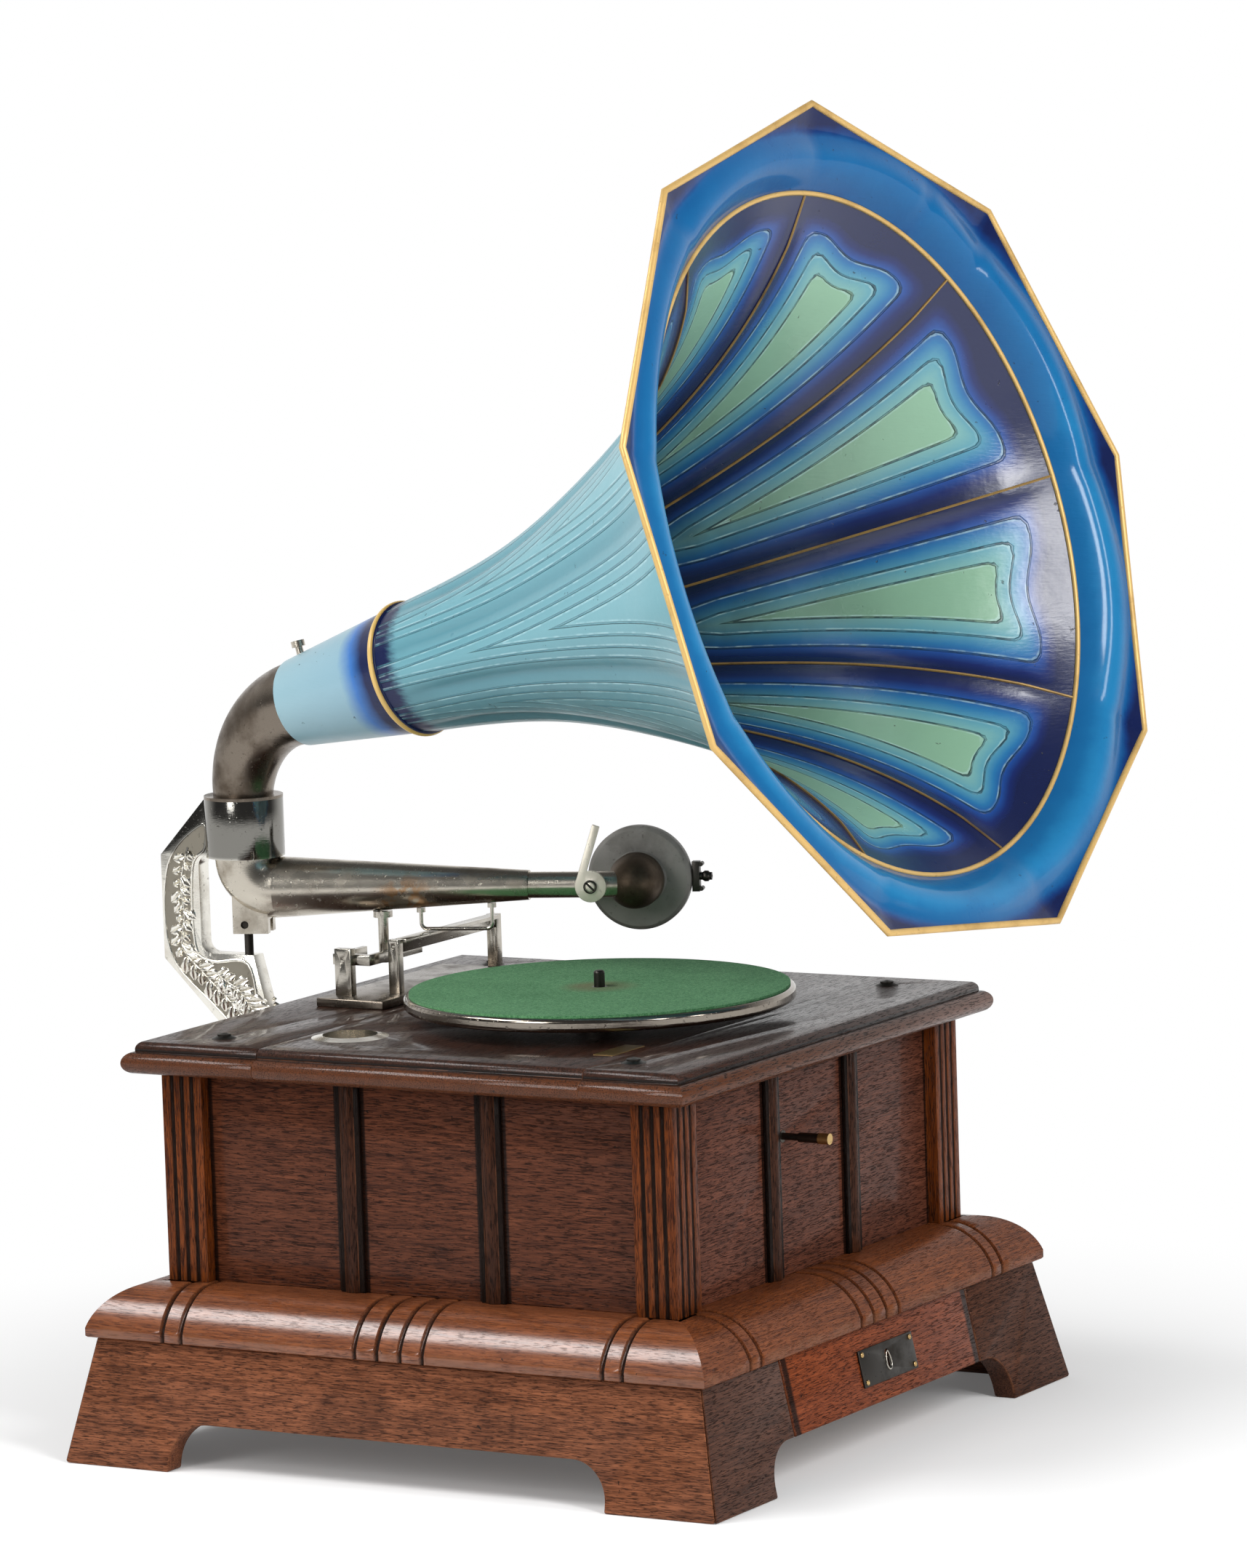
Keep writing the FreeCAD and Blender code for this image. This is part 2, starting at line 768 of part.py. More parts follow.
def case_floor():
    """The board under the body, inside the shoulder moulding, with the coin way's hole."""
    side = "case_side - 2 * shoulder_seat"
    board = box("floorBoard", side, side, "floor_thickness", f"-({side}) / 2", f"-({side}) / 2",
                "plinth_height")
    thick = "(chute_throat + 2 * chute_wall + 2 * sliding_gap)"
    hole = box("floorHole", f"{CHUTE_WIDTH} + floor_thickness + sliding_gap", thick,
               "floor_thickness + 2 * overrun", "chute_foot_x - sliding_gap", f"coin_y - {thick} / 2",
               "plinth_height - overrun")
    node("case_floor", cut("case_floor_board", board, hole), HOME)


def top_profile():
    """The section of the top: a round nose below, a quirk, and an eased upper edge."""
    half = "board_side / 2"
    nose = "(board_side / 2 - nose_round)"
    face = "(board_side / 2 - top_edge_step)"
    quirk = f"{BOARD_FOOT} + 2 * nose_round + edge_quirk"
    middle = f"{BOARD_FOOT} + nose_round"
    upper = f"{BOARD_FOOT} + 2 * nose_round"
    return [
        (nose, BOARD_FOOT),
        (half, middle, "nose_round", "left"),
        (nose, upper, "nose_round", "left"),
        (nose, quirk),
        (face, TOP, "edge_round", "left"),
        (f"-{face}", TOP),
        (f"-{nose}", quirk, "edge_round", "left"),
        (f"-{nose}", upper),
        (f"-{half}", middle, "nose_round", "left"),
        (f"-{nose}", BOARD_FOOT, "nose_round", "left"),
    ]


def top_slab(name):
    """The whole moulded top, before it is divided into planks."""
    along = prism(name + "Along", "XZ_Plane", top_profile(), "board_side")
    along.Placement = turn_about(0, y="board_side / 2")
    across = prism(name + "Across", "XZ_Plane", top_profile(), "board_side")
    across.Placement = turn_about(QUARTER_TURN, x="-board_side / 2")
    return common(name + "Slab", along, across)


def top_screw_places():
    """The four places of the screws that hold the top down."""
    return [(f"{sign} * (board_side / 2 - top_screw_edge)", y)
            for y in ("top_screw_rear_y", "top_screw_front_y") for sign in (-1, 1)]


def through_hole(name, radius, x, y):
    """A round hole through the top."""
    return rod(name, radius, "top_thickness + 2 * overrun", x, y, f"{BOARD_FOOT} - overrun")


def top_boards():
    """Rear plank, motor board and front plank, butted together."""
    half = "board_side / 2"
    spans = {
        "top_rear_board": ("rear_seam_y", f"{half} - rear_seam_y"),
        "motor_board": ("front_seam_y", "rear_seam_y - front_seam_y"),
        "top_front_board": (f"-{half}", f"front_seam_y + {half}"),
    }
    holes = {
        "top_rear_board": [through_hole(f"rear_hole{index}", "screw_shank_radius", *place)
                           for index, place in enumerate(top_screw_places()[:2])],
        "motor_board": [
            through_hole("spindle_hole", "spindle_shaft_radius + clear_gap", "spindle_x", "spindle_y"),
            through_hole("cup_hole", "cup_radius", "cup_x", "cup_y")],
        "top_front_board": [through_hole(f"front_hole{index}", "screw_shank_radius", *place)
                            for index, place in enumerate(top_screw_places()[2:])],
    }
    for label, (start, width) in spans.items():
        plank = box(label + "Span", "board_side", width, "top_thickness", f"-{half}", start, BOARD_FOOT)
        piece = common(label + "Plank", top_slab(label), plank)
        node(label, cut(label + "Holed", piece, *holes[label]), HOME)


def top_screws():
    """Four wood screws in cup washers."""
    rise = "screw_washer_height + screw_head_height"
    outline = [
        ("0", "-screw_length"),
        ("screw_shank_radius", "-screw_length"),
        ("screw_shank_radius", "0"),
        ("screw_washer_radius", "0"),
        ("screw_head_radius", "screw_washer_height"),
        ("screw_head_radius", f"({rise}) - screw_head_height / 2"),
        ("0", rise),
    ]
    screws = [move(turned(f"top_screw{index}", outline), x, y, TOP)
              for index, (x, y) in enumerate(top_screw_places())]
    node("top_screws", group("top_screws_group", screws), HOME)


def corner_blocks():
    """Four blocks inside the case's corners that the top's screws bite into."""
    outer = "(case_side / 2 - panel_recess - panel_thickness)"
    post = "(case_side / 2 - post_side)"
    blocks = []
    for index, (x, y) in enumerate(top_screw_places()):
        left = f"-{outer}" if index % 2 == 0 else f"{outer} - corner_block"
        front = f"{post} - corner_block" if index < 2 else f"-{post}"
        block = box(f"cornerBlock{index}", "corner_block", "corner_block", "corner_block", left, front,
                    f"{BOARD_FOOT} - corner_block")
        hole = rod(f"cornerHole{index}", "screw_shank_radius", "corner_block + 2 * overrun", x, y,
                   f"{BOARD_FOOT} - corner_block - overrun")
        blocks.append(cut(f"cornerBlockHoled{index}", block, hole))
    node("corner_blocks", group("corner_blocks_group", blocks), HOME)


def needle_cup():
    """A flanged cup let into the motor board."""
    inner = "cup_radius - cup_wall"
    outline = [
        ("0", "-cup_depth"),
        ("cup_radius", "-cup_depth"),
        ("cup_radius", "0"),
        ("cup_flange_radius", "0"),
        (inner, "cup_flange_height"),
        (inner, "cup_wall - cup_depth"),
        ("0", "cup_wall - cup_depth"),
    ]
    node("needle_cup", move(turned("needle_cup_turned", outline), "cup_x", "cup_y", TOP), HOME)


def bare_plate():
    """A small bare plate on the motor board."""
    plate = box("bare_plate_box", "plate_length", "plate_width", "plate_thickness",
                "plate_x - plate_length / 2", "plate_y - plate_width / 2", TOP)
    node("bare_plate", plate, HOME)


def drawer():
    """The coin drawer: a splayed front, an open tray behind it and a lock plate."""
    back = "plinth_wall - plinth_top_side / 2"
    top = "(plinth_height - sliding_gap)"
    outline = [
        (f"arch_height * {SPLAY} - {FOOT_HALF}", "arch_height"),
        (back, "arch_height"),
        (back, top),
        (f"{top} * {SPLAY} - {FOOT_HALF}", top),
    ]
    front = prism("drawer_front_board", "YZ_Plane", outline, "drawer_width")
    node("drawer_front", front, HOME.multiply(turn_about(0, x="-drawer_width / 2")))
    foot = "arch_height + tray_floor_height"
    length = f"(drawer_back_y - ({back}))"
    tray = box("trayBlock", "tray_width", length, "tray_height", "-tray_width / 2", back, foot)
    hollow = box("trayHollow", "tray_width - 2 * tray_wall", f"{length} - 2 * tray_wall",
                 "tray_height", "tray_wall - tray_width / 2", f"{back} + tray_wall",
                 f"{foot} + tray_wall")
    node("drawer_tray", cut("drawer_tray_box", tray, hollow), HOME)


def drawer_runners():
    """Two rabbeted runners under the case floor that carry the tray by its edges."""
    inner = "(tray_width / 2 + sliding_gap)"
    ledge = "arch_height + tray_floor_height - clear_gap"
    outline = [
        (f"{inner} - runner_ledge", "arch_height"),
        (f"{inner} + runner_width", "arch_height"),
        (f"{inner} + runner_width", "plinth_height"),
        (inner, "plinth_height"),
        (inner, ledge),
        (f"{inner} - runner_ledge", ledge),
    ]
    runners = []
    for quarter in (0, 2):
        runner = prism(f"drawer_runner{quarter}", "XZ_Plane", outline, f"drawer_back_y - {RUNNER_FRONT}")
        shift = "drawer_back_y" if quarter == 0 else RUNNER_FRONT
        runner.Placement = turn_about(quarter * QUARTER_TURN, y=shift)
        runners.append(runner)
    node("drawer_runners", group("drawer_runners_group", runners), HOME)


def lock_plate():
    """A steel plate with a keyhole, flat on the drawer's splayed front."""
    plate = box("lockBox", "lock_plate_length", "lock_plate_height", "lock_plate_thickness",
                "-lock_plate_length / 2", "-lock_plate_height / 2", "0")
    deep = "lock_plate_thickness + 2 * overrun"
    eye = rod("lockEye", "keyhole_radius", deep, "0", "keyhole_drop / 2", "-overrun")
    slot = box("lockSlot", "keyhole_slot", "keyhole_drop", deep, "-keyhole_slot / 2",
               "-keyhole_drop / 2", "-overrun")
    lean = QUARTER_TURN - math.degrees(math.atan(value(SPLAY)))
    height = "(arch_height + lock_plate_rise)"
    place = turn_about(lean, X_AXIS, "lock_plate_x", f"{height} * {SPLAY} - {FOOT_HALF}", height)
    node("lock_plate", cut("lock_plate_holed", plate, eye, slot), HOME.multiply(place))


def turntable():
    """Platter with a turned-down rim, felt mat and spindle."""
    foot = f"{TOP} + platter_gap"
    top = f"({foot} + platter_rim)"
    inner = "platter_radius - platter_wall"
    outline = [
        ("spindle_shaft_radius", f"{TOP} + hub_gap"),
        ("hub_radius", f"{TOP} + hub_gap"),
        ("hub_radius", f"{top} - platter_web"),
        (inner, f"{top} - platter_web"),
        (inner, foot),
        ("platter_radius - platter_edge_round", foot),
        ("platter_radius", f"{foot} + platter_edge_round", "platter_edge_round", "left"),
        ("platter_radius", f"{top} - platter_edge_round"),
        ("platter_radius - platter_edge_round", top, "platter_edge_round", "left"),
        ("spindle_shaft_radius", top),
    ]
    node("platter", move(turned("platter_turned", outline), "spindle_x", "spindle_y", "0"), HOME)
    felt_top = f"({top} + felt_thickness)"
    mat = [
        ("spindle_shaft_radius", top),
        ("felt_radius - platter_edge_round", top),
        ("felt_radius - platter_edge_round", felt_top),
        ("spindle_shaft_radius", felt_top),
    ]
    node("felt_mat", move(turned("felt_turned", mat), "spindle_x", "spindle_y", "0"), HOME)
    tip = f"{felt_top} + spindle_rise"
    shaft = [
        ("0", SHAFT_FOOT),
        ("spindle_shaft_radius", SHAFT_FOOT),
        ("spindle_shaft_radius", felt_top),
        ("spindle_radius", felt_top),
        ("spindle_radius", f"{tip} - spindle_radius / 2"),
        ("spindle_radius / 2", tip, "spindle_radius / 2", "left"),
        ("0", tip),
    ]
    shaft_piece = move(turned("spindle_turned", shaft), "spindle_x", "spindle_y", "0")
    node("spindle", fuse("spindle_fused", shaft_piece, *spindle_wheels()), HOME)


def strut_outline():
    """The bracket's side view: heel on the case, C-shaped strut, rest for the arm's pin."""
    back = f"({SWIVEL_Y} + strut_reach)"
    inner = f"({SWIVEL_Y} + strut_reach - strut_width)"
    collar_foot = f"({TOP} + collar_rise)"
    collar_top = f"({collar_foot} + collar_height)"
    rest = f"({TOP} + arm_rest_rise)"
    heel_face = "(case_side / 2 + bracket_foot_thickness)"
    heel = f"({BOARD_FOOT} - bracket_foot_drop)"
    front = f"({SWIVEL_Y} - arm_rest_front)"
    return [
        (f"{SWIVEL_Y} + collar_bore", collar_top),
        (f"{SWIVEL_Y} + collar_radius", collar_top),
        (back, f"{collar_top} - strut_top_drop"),
        (back, f"{TOP} + strut_bottom_rise"),
        (f"{SWIVEL_Y} + collar_bore", f"{TOP} - strut_heel_drop"),
        (heel_face, f"{heel} - bracket_foot_height"),
        (heel_face, heel),
        ("board_side / 2 + clear_gap", heel),
        (f"{front} - arm_rest_lean", f"{rest} - arm_rest_depth"),
        (front, rest),
        (f"{inner} - strut_inner_round", rest),
        (inner, f"{rest} + strut_inner_round", "strut_inner_round", "left"),
        (inner, f"{collar_foot} - strut_inner_round"),
        (f"{inner} - strut_inner_round", collar_foot, "strut_inner_round", "left"),
        (f"{SWIVEL_Y} + collar_bore", collar_foot),
    ]


def bracket_screw_places():
    """The four screw places on the bracket's foot."""
    across = "(bracket_foot_width / 2 - bracket_screw_inset)"
    top = f"({BOARD_FOOT} - bracket_foot_drop - bracket_screw_inset)"
    foot = f"({BOARD_FOOT} - bracket_foot_drop - bracket_foot_height + bracket_screw_inset)"
    return [(f"{sign} * {across}", z) for z in (top, foot) for sign in (-1, 1)]


def bracket():
    """The cast bracket with its collar and its foot on the back of the case."""
    strut = prism("strutPlate", "YZ_Plane", strut_outline(), "strut_thickness")
    move(strut, "-strut_thickness / 2", "0", "0")
    collar = rod("collarRing", "collar_radius", "collar_height", "0", SWIVEL_Y, f"{TOP} + collar_rise")
    foot = box("bracketFoot", "bracket_foot_width", "bracket_foot_thickness + panel_recess",
               "bracket_foot_height", "-bracket_foot_width / 2", "case_side / 2 - panel_recess",
               f"{BOARD_FOOT} - bracket_foot_drop - bracket_foot_height")
    bore = rod("collarBore", "collar_bore", "collar_height + 2 * overrun", "0", SWIVEL_Y,
               f"{TOP} + collar_rise - overrun")
    pin_hole = rod("pinHole", "pin_radius + running_gap", "bracket_pin_depth + overrun", "0", SWIVEL_Y,
                   f"{TOP} + arm_rest_rise - bracket_pin_depth")
    holes = [rod(f"bracketHole{index}", "bracket_screw_radius", "bracket_foot_height", x,
                 "case_side / 2 - panel_recess - overrun", z, Y_AXIS)
             for index, (x, z) in enumerate(bracket_screw_places())]
    casting = fuse("bracketCasting", strut, collar, foot)
    node("horn_bracket", cut("horn_bracket_cut", casting, bore, pin_hole, *holes), HOME)


def bracket_screws():
    """Four screws through the bracket's foot into the back panel."""
    outline = [
        ("0", "-bracket_screw_length"),
        ("bracket_screw_radius", "-bracket_screw_length"),
        ("bracket_screw_radius", "0"),
        ("bracket_screw_head", "0"),
        ("bracket_screw_head / 2", "bracket_screw_head_height"),
        ("0", "bracket_screw_head_height"),
    ]
    screws = [aim(turned(f"bracket_screw{index}", outline), Y_AXIS, x,
                  "case_side / 2 + bracket_foot_thickness", z)
              for index, (x, z) in enumerate(bracket_screw_places())]
    node("bracket_screws", group("bracket_screws_group", screws), HOME)


def elbow_spine():
    """The elbow's middle line, from the collar's flange to the throat."""
    sweep = math.radians(QUARTER_TURN - value("horn_elevation"))
    bend = value("elbow_bend")

    def on_bend(angle):
        return Vector(0, -bend * (1 - math.cos(angle)), bend * math.sin(angle))

    end = on_bend(sweep)
    forward = Vector(0, -math.sin(sweep), math.cos(sweep))
    arc = Part.Arc(Vector(), on_bend(sweep / 2), end).toShape()
    throat = end + forward * value("elbow_run")
    return Part.Wire([arc, Part.makeLine(end, throat)]), throat, forward


def elbow_skin(inset):
    """The elbow's flaring form, smaller all round by an inset."""
    spine, throat, forward = elbow_spine()
    first = Part.Wire(Part.makeCircle(value("elbow_radius") - inset, Vector(), Z_AXIS))
    last = Part.Wire(Part.makeCircle(value("elbow_throat_radius") - inset, throat, forward))
    return spine.makePipeShell([first, last], True, False)


def horn_elbow():
    """The flared elbow: a bush and flange on the bracket's collar, the bend and a lap in the throat."""
    bend = solid("elbowBend", elbow_skin(0).cut(elbow_skin(value("elbow_wall"))))
    bush = [
        ("elbow_radius - elbow_wall", "-elbow_spigot - elbow_flange_height"),
        ("collar_bore - running_gap", "-elbow_spigot - elbow_flange_height"),
        ("collar_bore - running_gap", "-elbow_flange_height"),
        ("collar_radius", "-elbow_flange_height"),
        ("collar_radius", "0"),
        ("elbow_radius - elbow_wall", "0"),
    ]
    skin = "elbow_throat_radius - elbow_wall"
    lap = turned("elbowLap", [(skin, "0"), ("elbow_throat_radius", "0"),
                              ("elbow_throat_radius", "elbow_lap"), (skin, "elbow_lap")])
    _, throat, forward = elbow_spine()
    lap.Placement = Placement(throat, Rotation(Z_AXIS, forward))
    piece = fuse("horn_elbow_fused", bend, turned("elbowBush", bush), lap)
    place = turn_about(value("horn_yaw"), y=SWIVEL_Y, z=ELBOW_Z)
    node("horn_elbow", piece, HOME.multiply(place))


def horn_tube():
    """The conical throat tube between the elbow and the bell."""
    outline = [
        ("throat_radius - horn_wall", "0"),
        ("throat_radius", "0"),
        ("bell_start_radius", "throat_length"),
        ("bell_start_radius - horn_wall", "throat_length"),
    ]
    hole = rod("throatHole", "horn_screw_radius", "bell_start_radius", "0", "0", "horn_screw_place", Y_AXIS)
    tube = cut("horn_throat_holed", turned("horn_throat_turned", outline), hole)
    node("horn_throat", tube, HOME.multiply(horn_frame()))


def bell_points():
    """Points along the bell's wall in the horn's own frame, as (radius, length)."""
    radius = "bell_start_radius"
    points = [Vector(value(radius), 0, value("throat_length"))]
    for mark in BELL_MARKS:
        radius += f" + {mark}_flare"
        points.append(Vector(value(radius), 0, value(f"{mark}_length")))
    return points


def spline_edge(points):
    """A smooth edge through points."""
    curve = Part.BSplineCurve()
    curve.interpolate(points)
    return curve.toShape()


def horn_petals():
    """Nine sheet-metal petals, each a ninth of the flared bell, seamed along the ribs."""
    wall = value("horn_wall")
    outer = bell_points()
    inner = [point + Vector(-wall, 0, 0) for point in outer]
    edges = [spline_edge(outer), Part.makeLine(outer[-1], inner[-1]), spline_edge(inner),
             Part.makeLine(inner[0], outer[0])]
    face = Part.Face(Part.Wire(Part.__sortEdges__(edges)))
    sector = FULL_TURN / PETALS
    petals = []
    for index in range(PETALS):
        petal = face.revolve(Vector(), Z_AXIS, sector)
        petal.rotate(Vector(), Z_AXIS, QUARTER_TURN - value("rim_phase") - (index + 1) * sector)
        petals.append(petal)
    node("horn_petals", solid("horn_petals_shape", Part.makeCompound(petals)),
         HOME.multiply(horn_frame()))


def rim_edge(first, middle, last):
    """The edge through three points: an arc, or a line where they are in a row."""
    bow = (middle - (first + last) * 0.5).Length
    if bow < value("running_gap"):
        return Part.makeLine(first, last)
    return Part.Arc(first, middle, last).toShape()


def rim_segment(rows, drop):
    """A closed sheet over rows of three points, as thick as the drop."""
    lower = [[point + drop for point in row] for row in rows]
    faces = []
    for sheet_rows in (rows, lower):
        edges = [rim_edge(*row) for row in sheet_rows]
        faces += [Part.makeRuledSurface(near, far) for near, far in zip(edges, edges[1:])]
    for end in (0, -1):
        faces.append(Part.makeRuledSurface(rim_edge(*rows[end]), rim_edge(*lower[end])))
        outline = [row[end] for row in rows] + [row[end] for row in reversed(lower)]
        faces.append(Part.Face(Part.makePolygon(outline + outline[:1])))
    shell = Part.makeShell(faces)
    shell.sewShape()
    segment = Part.makeSolid(shell)
    return segment if segment.Volume > 0 else segment.reversed()


def horn_rim():
    """The crowned flange: nine segments from the round end of the bell to straight outer edges."""
    drop = Vector(0, 0, -value("horn_wall"))
    crown_lift = Vector(0, 0, value("rim_crown"))
    segments = []
    for index in range(PETALS):
        inner = [rim_corner(index + share, value(MOUTH_RADIUS), value("bell_end_length"))
                 for share in (0, 0.5, 1)]
        first, last = [rim_corner(index + share, value(RIM_RADIUS), value("rim_length"))
                       for share in (0, 1)]
        outer = [first, (first + last) * 0.5, last]
        crown = [(near + far) * 0.5 + crown_lift for near, far in zip(inner, outer)]
        segments.append(rim_segment((inner, crown, outer), drop))
    node("horn_rim", solid("horn_rim_shape", Part.makeCompound(segments)), HOME.multiply(horn_frame()))


def horn_fittings():
    """The gilt ring round the horn's neck and the thumb screw on top of the throat."""
    taper = "(bell_start_radius - throat_radius) / throat_length"
    rear = f"(bell_start_radius - horn_ring_length * {taper})"
    outline = [
        (rear, "throat_length - horn_ring_length"),
        (f"{rear} + horn_ring_height / 2", "throat_length - horn_ring_length"),
        ("bell_start_radius + horn_ring_height", "throat_length - horn_ring_length / 2"),
        ("bell_start_radius + horn_ring_height", "throat_length"),
        ("bell_start_radius", "throat_length"),
    ]
    node("horn_ring", turned("horn_ring_turned", outline), HOME.multiply(horn_frame()))
    place = "horn_screw_place"
    seat = f"(throat_radius + {taper} * {place})"
    outline = [
        ("0", f"elbow_throat_radius - {seat}"),
        ("horn_screw_radius", f"elbow_throat_radius - {seat}"),
        ("horn_screw_radius", "horn_screw_height - horn_screw_knob_height"),
        ("horn_screw_knob", "horn_screw_height - horn_screw_knob_height"),
        ("horn_screw_knob", "horn_screw_height"),
        ("0", "horn_screw_height"),
    ]
    screw = turned("horn_screw_turned", outline)
    spot = Placement(Vector(0, value(seat), value(place)), Rotation(Z_AXIS, Y_AXIS))
    node("horn_screw", screw, HOME.multiply(horn_frame()).multiply(spot))


def arm_place():
    """The place of the swung tone arm: its own -Y runs from the swivel axis to the needle."""
    return HOME.multiply(turn_about(value("arm_swing"), y=SWIVEL_Y))


def arm_elbow(name, radius, neck):
    """A quarter bend from the collar down to the level of the arm, with a neck above it."""
    ring = doc.addObject("Part::Torus", name + "Bend")
    bind(ring, Radius1="arm_elbow_bend", Radius2=radius)
    ring.Angle3 = QUARTER_TURN
    ring.Placement = Placement(Vector(), Rotation(Y_AXIS, QUARTER_TURN))
    move(ring, "0", "-arm_elbow_bend", f"{ARM_Z} + arm_elbow_bend")
    tail = rod(name + "Neck", neck, "arm_neck_height + arm_neck_height", "0", "0",
               f"{ARM_Z} + arm_elbow_bend - arm_neck_height")
    return ring, tail


def tone_arm():
    """The tapered arm: neck, elbow, taper and the forked lug under the elbow."""
    ring, neck = arm_elbow("armOuter", "arm_elbow_radius", "arm_neck_radius")
    run = "(arm_length - arm_elbow_bend)"
    taper = cone("armTaper", "arm_elbow_radius", "arm_end_radius", run, "0", "-arm_elbow_bend", ARM_Z,
                 Vector(0, -1, 0))
    lug = box("armLug", "lug_width", "lug_length", f"{ARM_Z} - {LIFT_Z} + lug_drop",
              "-lug_width / 2", "-lug_length * 2 / 3", f"{LIFT_Z} - lug_drop")
    bore_ring, bore_neck = arm_elbow("armInner", "arm_elbow_radius - arm_wall", "arm_neck_radius - arm_wall")
    bore = cone("armBore", "arm_elbow_radius - arm_wall", "arm_end_radius - arm_wall",
                run, "0", "-arm_elbow_bend", ARM_Z, Vector(0, -1, 0))
    slot = box("lugSlot", "lug_slot", "lug_length + 2 * overrun",
               "trunnion_radius + sliding_gap + lug_drop + overrun", "-lug_slot / 2",
               "-lug_length - overrun", f"{LIFT_Z} - lug_drop - overrun")
    eye = rod("lugEye", "trunnion_radius + running_gap", "lug_width + 2 * overrun",
              "-lug_width / 2 - overrun", "0", LIFT_Z, X_AXIS)
    shell = fuse("armShell", ring, neck, taper, lug)
    node("tone_arm", cut("tone_arm_cut", shell, bore_ring, bore_neck, bore, slot, eye), arm_place())


def pivot_pin():
    """The pin that turns in the bracket and carries the arm on a cross trunnion."""
    foot = f"{TOP} + arm_rest_rise - bracket_pin_depth + running_gap"
    shank = rod("pinShank", "pin_radius", f"{LIFT_Z} - ({foot})", "0", "0", foot)
    bar = rod("pinBar", "trunnion_radius", "trunnion_length", "-trunnion_length / 2", "0", LIFT_Z, X_AXIS)
    node("pivot_pin", fuse("pivot_pin_fused", shank, bar), arm_place())


def arm_crook():
    """The sleeve in the arm's end and the crook that turns it into the sound box."""
    start = "(arm_length - sleeve_overlap)"
    bend_start = "(soundbox_reach - crook_bend)"

    def pipe(name, radius):
        straight = rod(name + "Sleeve", radius, f"{bend_start} - {start}", "0", f"-{start}", ARM_Z,
                       Vector(0, -1, 0))
        ring = doc.addObject("Part::Torus", name + "Bend")
        bind(ring, Radius1="crook_bend", Radius2=radius)
        ring.Angle3 = QUARTER_TURN
        ring.Placement = Placement(Vector(), Rotation(Z_AXIS, 2 * QUARTER_TURN))
        move(ring, "crook_bend", f"-{bend_start}", ARM_Z)
        spigot = rod(name + "Spigot", radius, "crook_spigot", "crook_bend", "-soundbox_reach", ARM_Z, X_AXIS)
        return straight, ring, spigot

    outer = fuse("crookOuter", *pipe("crookSkin", "sleeve_radius"))
    inner = fuse("crookInner", *pipe("crookBore", "sleeve_radius - sleeve_wall"))
    hole = rod("clampHole", "clamp_pin_radius + running_gap", "sleeve_radius + overrun",
               "-sleeve_radius - overrun", "-clamp_place", ARM_Z, X_AXIS)
    node("arm_crook", cut("arm_crook_cut", outer, inner, hole), arm_place())


def arm_skin(place):
    """The height of the taper's lowest line at a distance from the swivel axis."""
    slope = "(arm_elbow_radius - arm_end_radius) / (arm_length - arm_elbow_bend)"
    return f"({ARM_Z} - arm_elbow_radius + ({place} - arm_elbow_bend) * {slope})"


def arm_stem():
    """The trip stem with its nut, hanging from the arm."""
    skin = arm_skin("stem_place - stem_radius")
    shank = rod("stemShank", "stem_radius", f"{skin} - {TOP} - stem_bottom_rise", "0", "-stem_place",
                f"{TOP} + stem_bottom_rise")
    nut = rod("stemNut", "stem_nut_radius", "stem_nut_height", "0", "-stem_place",
              f"{skin} - stem_nut_height - clear_gap")
    node("arm_stem", fuse("arm_stem_fused", shank, nut), arm_place())


def arm_bail():
    """A wire bail under the arm that slides along the lift rail."""
    bend = value("bail_bend")
    height = value(f"{TOP} + bail_rise")
    near = -value("bail_start")
    far = -value("bail_end")
    tops = [value(arm_skin(f"{place} - bail_ear_radius")) for place in ("bail_start", "bail_end")]
    corners = [Vector(0, near, tops[0]), Vector(0, near, height),
               Vector(0, far, height), Vector(0, far, tops[1])]
    quarter = math.sqrt(0.5)

    def corner(point, before, after):
        a = point + before * bend
        b = point + after * bend
        middle = point + (before + after) * bend * (1 - quarter)
        return a, Part.Arc(a, middle, b).toShape(), b

    up = Vector(0, 0, 1)
    away = Vector(0, -1, 0)
    a, first, b = corner(corners[1], up, away)
    c, second, d = corner(corners[2], -away, up)
    path = Part.Wire([Part.makeLine(corners[0], a), first, Part.makeLine(b, c), second,
                      Part.makeLine(d, corners[3])])
    ring = Part.Wire(Part.makeCircle(value("bail_wire_radius"), corners[0], -up))
    wire = path.makePipeShell([ring], True, False)
    ears = [Part.makeCylinder(value("bail_ear_radius"), value("bail_ear_height"),
                              point - up * value("bail_ear_height"), up)
            for point in (corners[0], corners[3])]
    node("arm_bail", solid("arm_bail_shape", wire.multiFuse(ears)), arm_place())


def soundbox_place():
    """The place of the sound box: its own Z is the swivel's axis, its own X points along the needle."""
    spot = Vector(value("crook_bend"), -value("soundbox_reach"), value(ARM_Z))
    turn = Rotation(Vector(0, -1, 0), Vector(0, 0, -1), Vector(1, 0, 0), "ZXY")
    return arm_place().multiply(Placement(spot, turn))


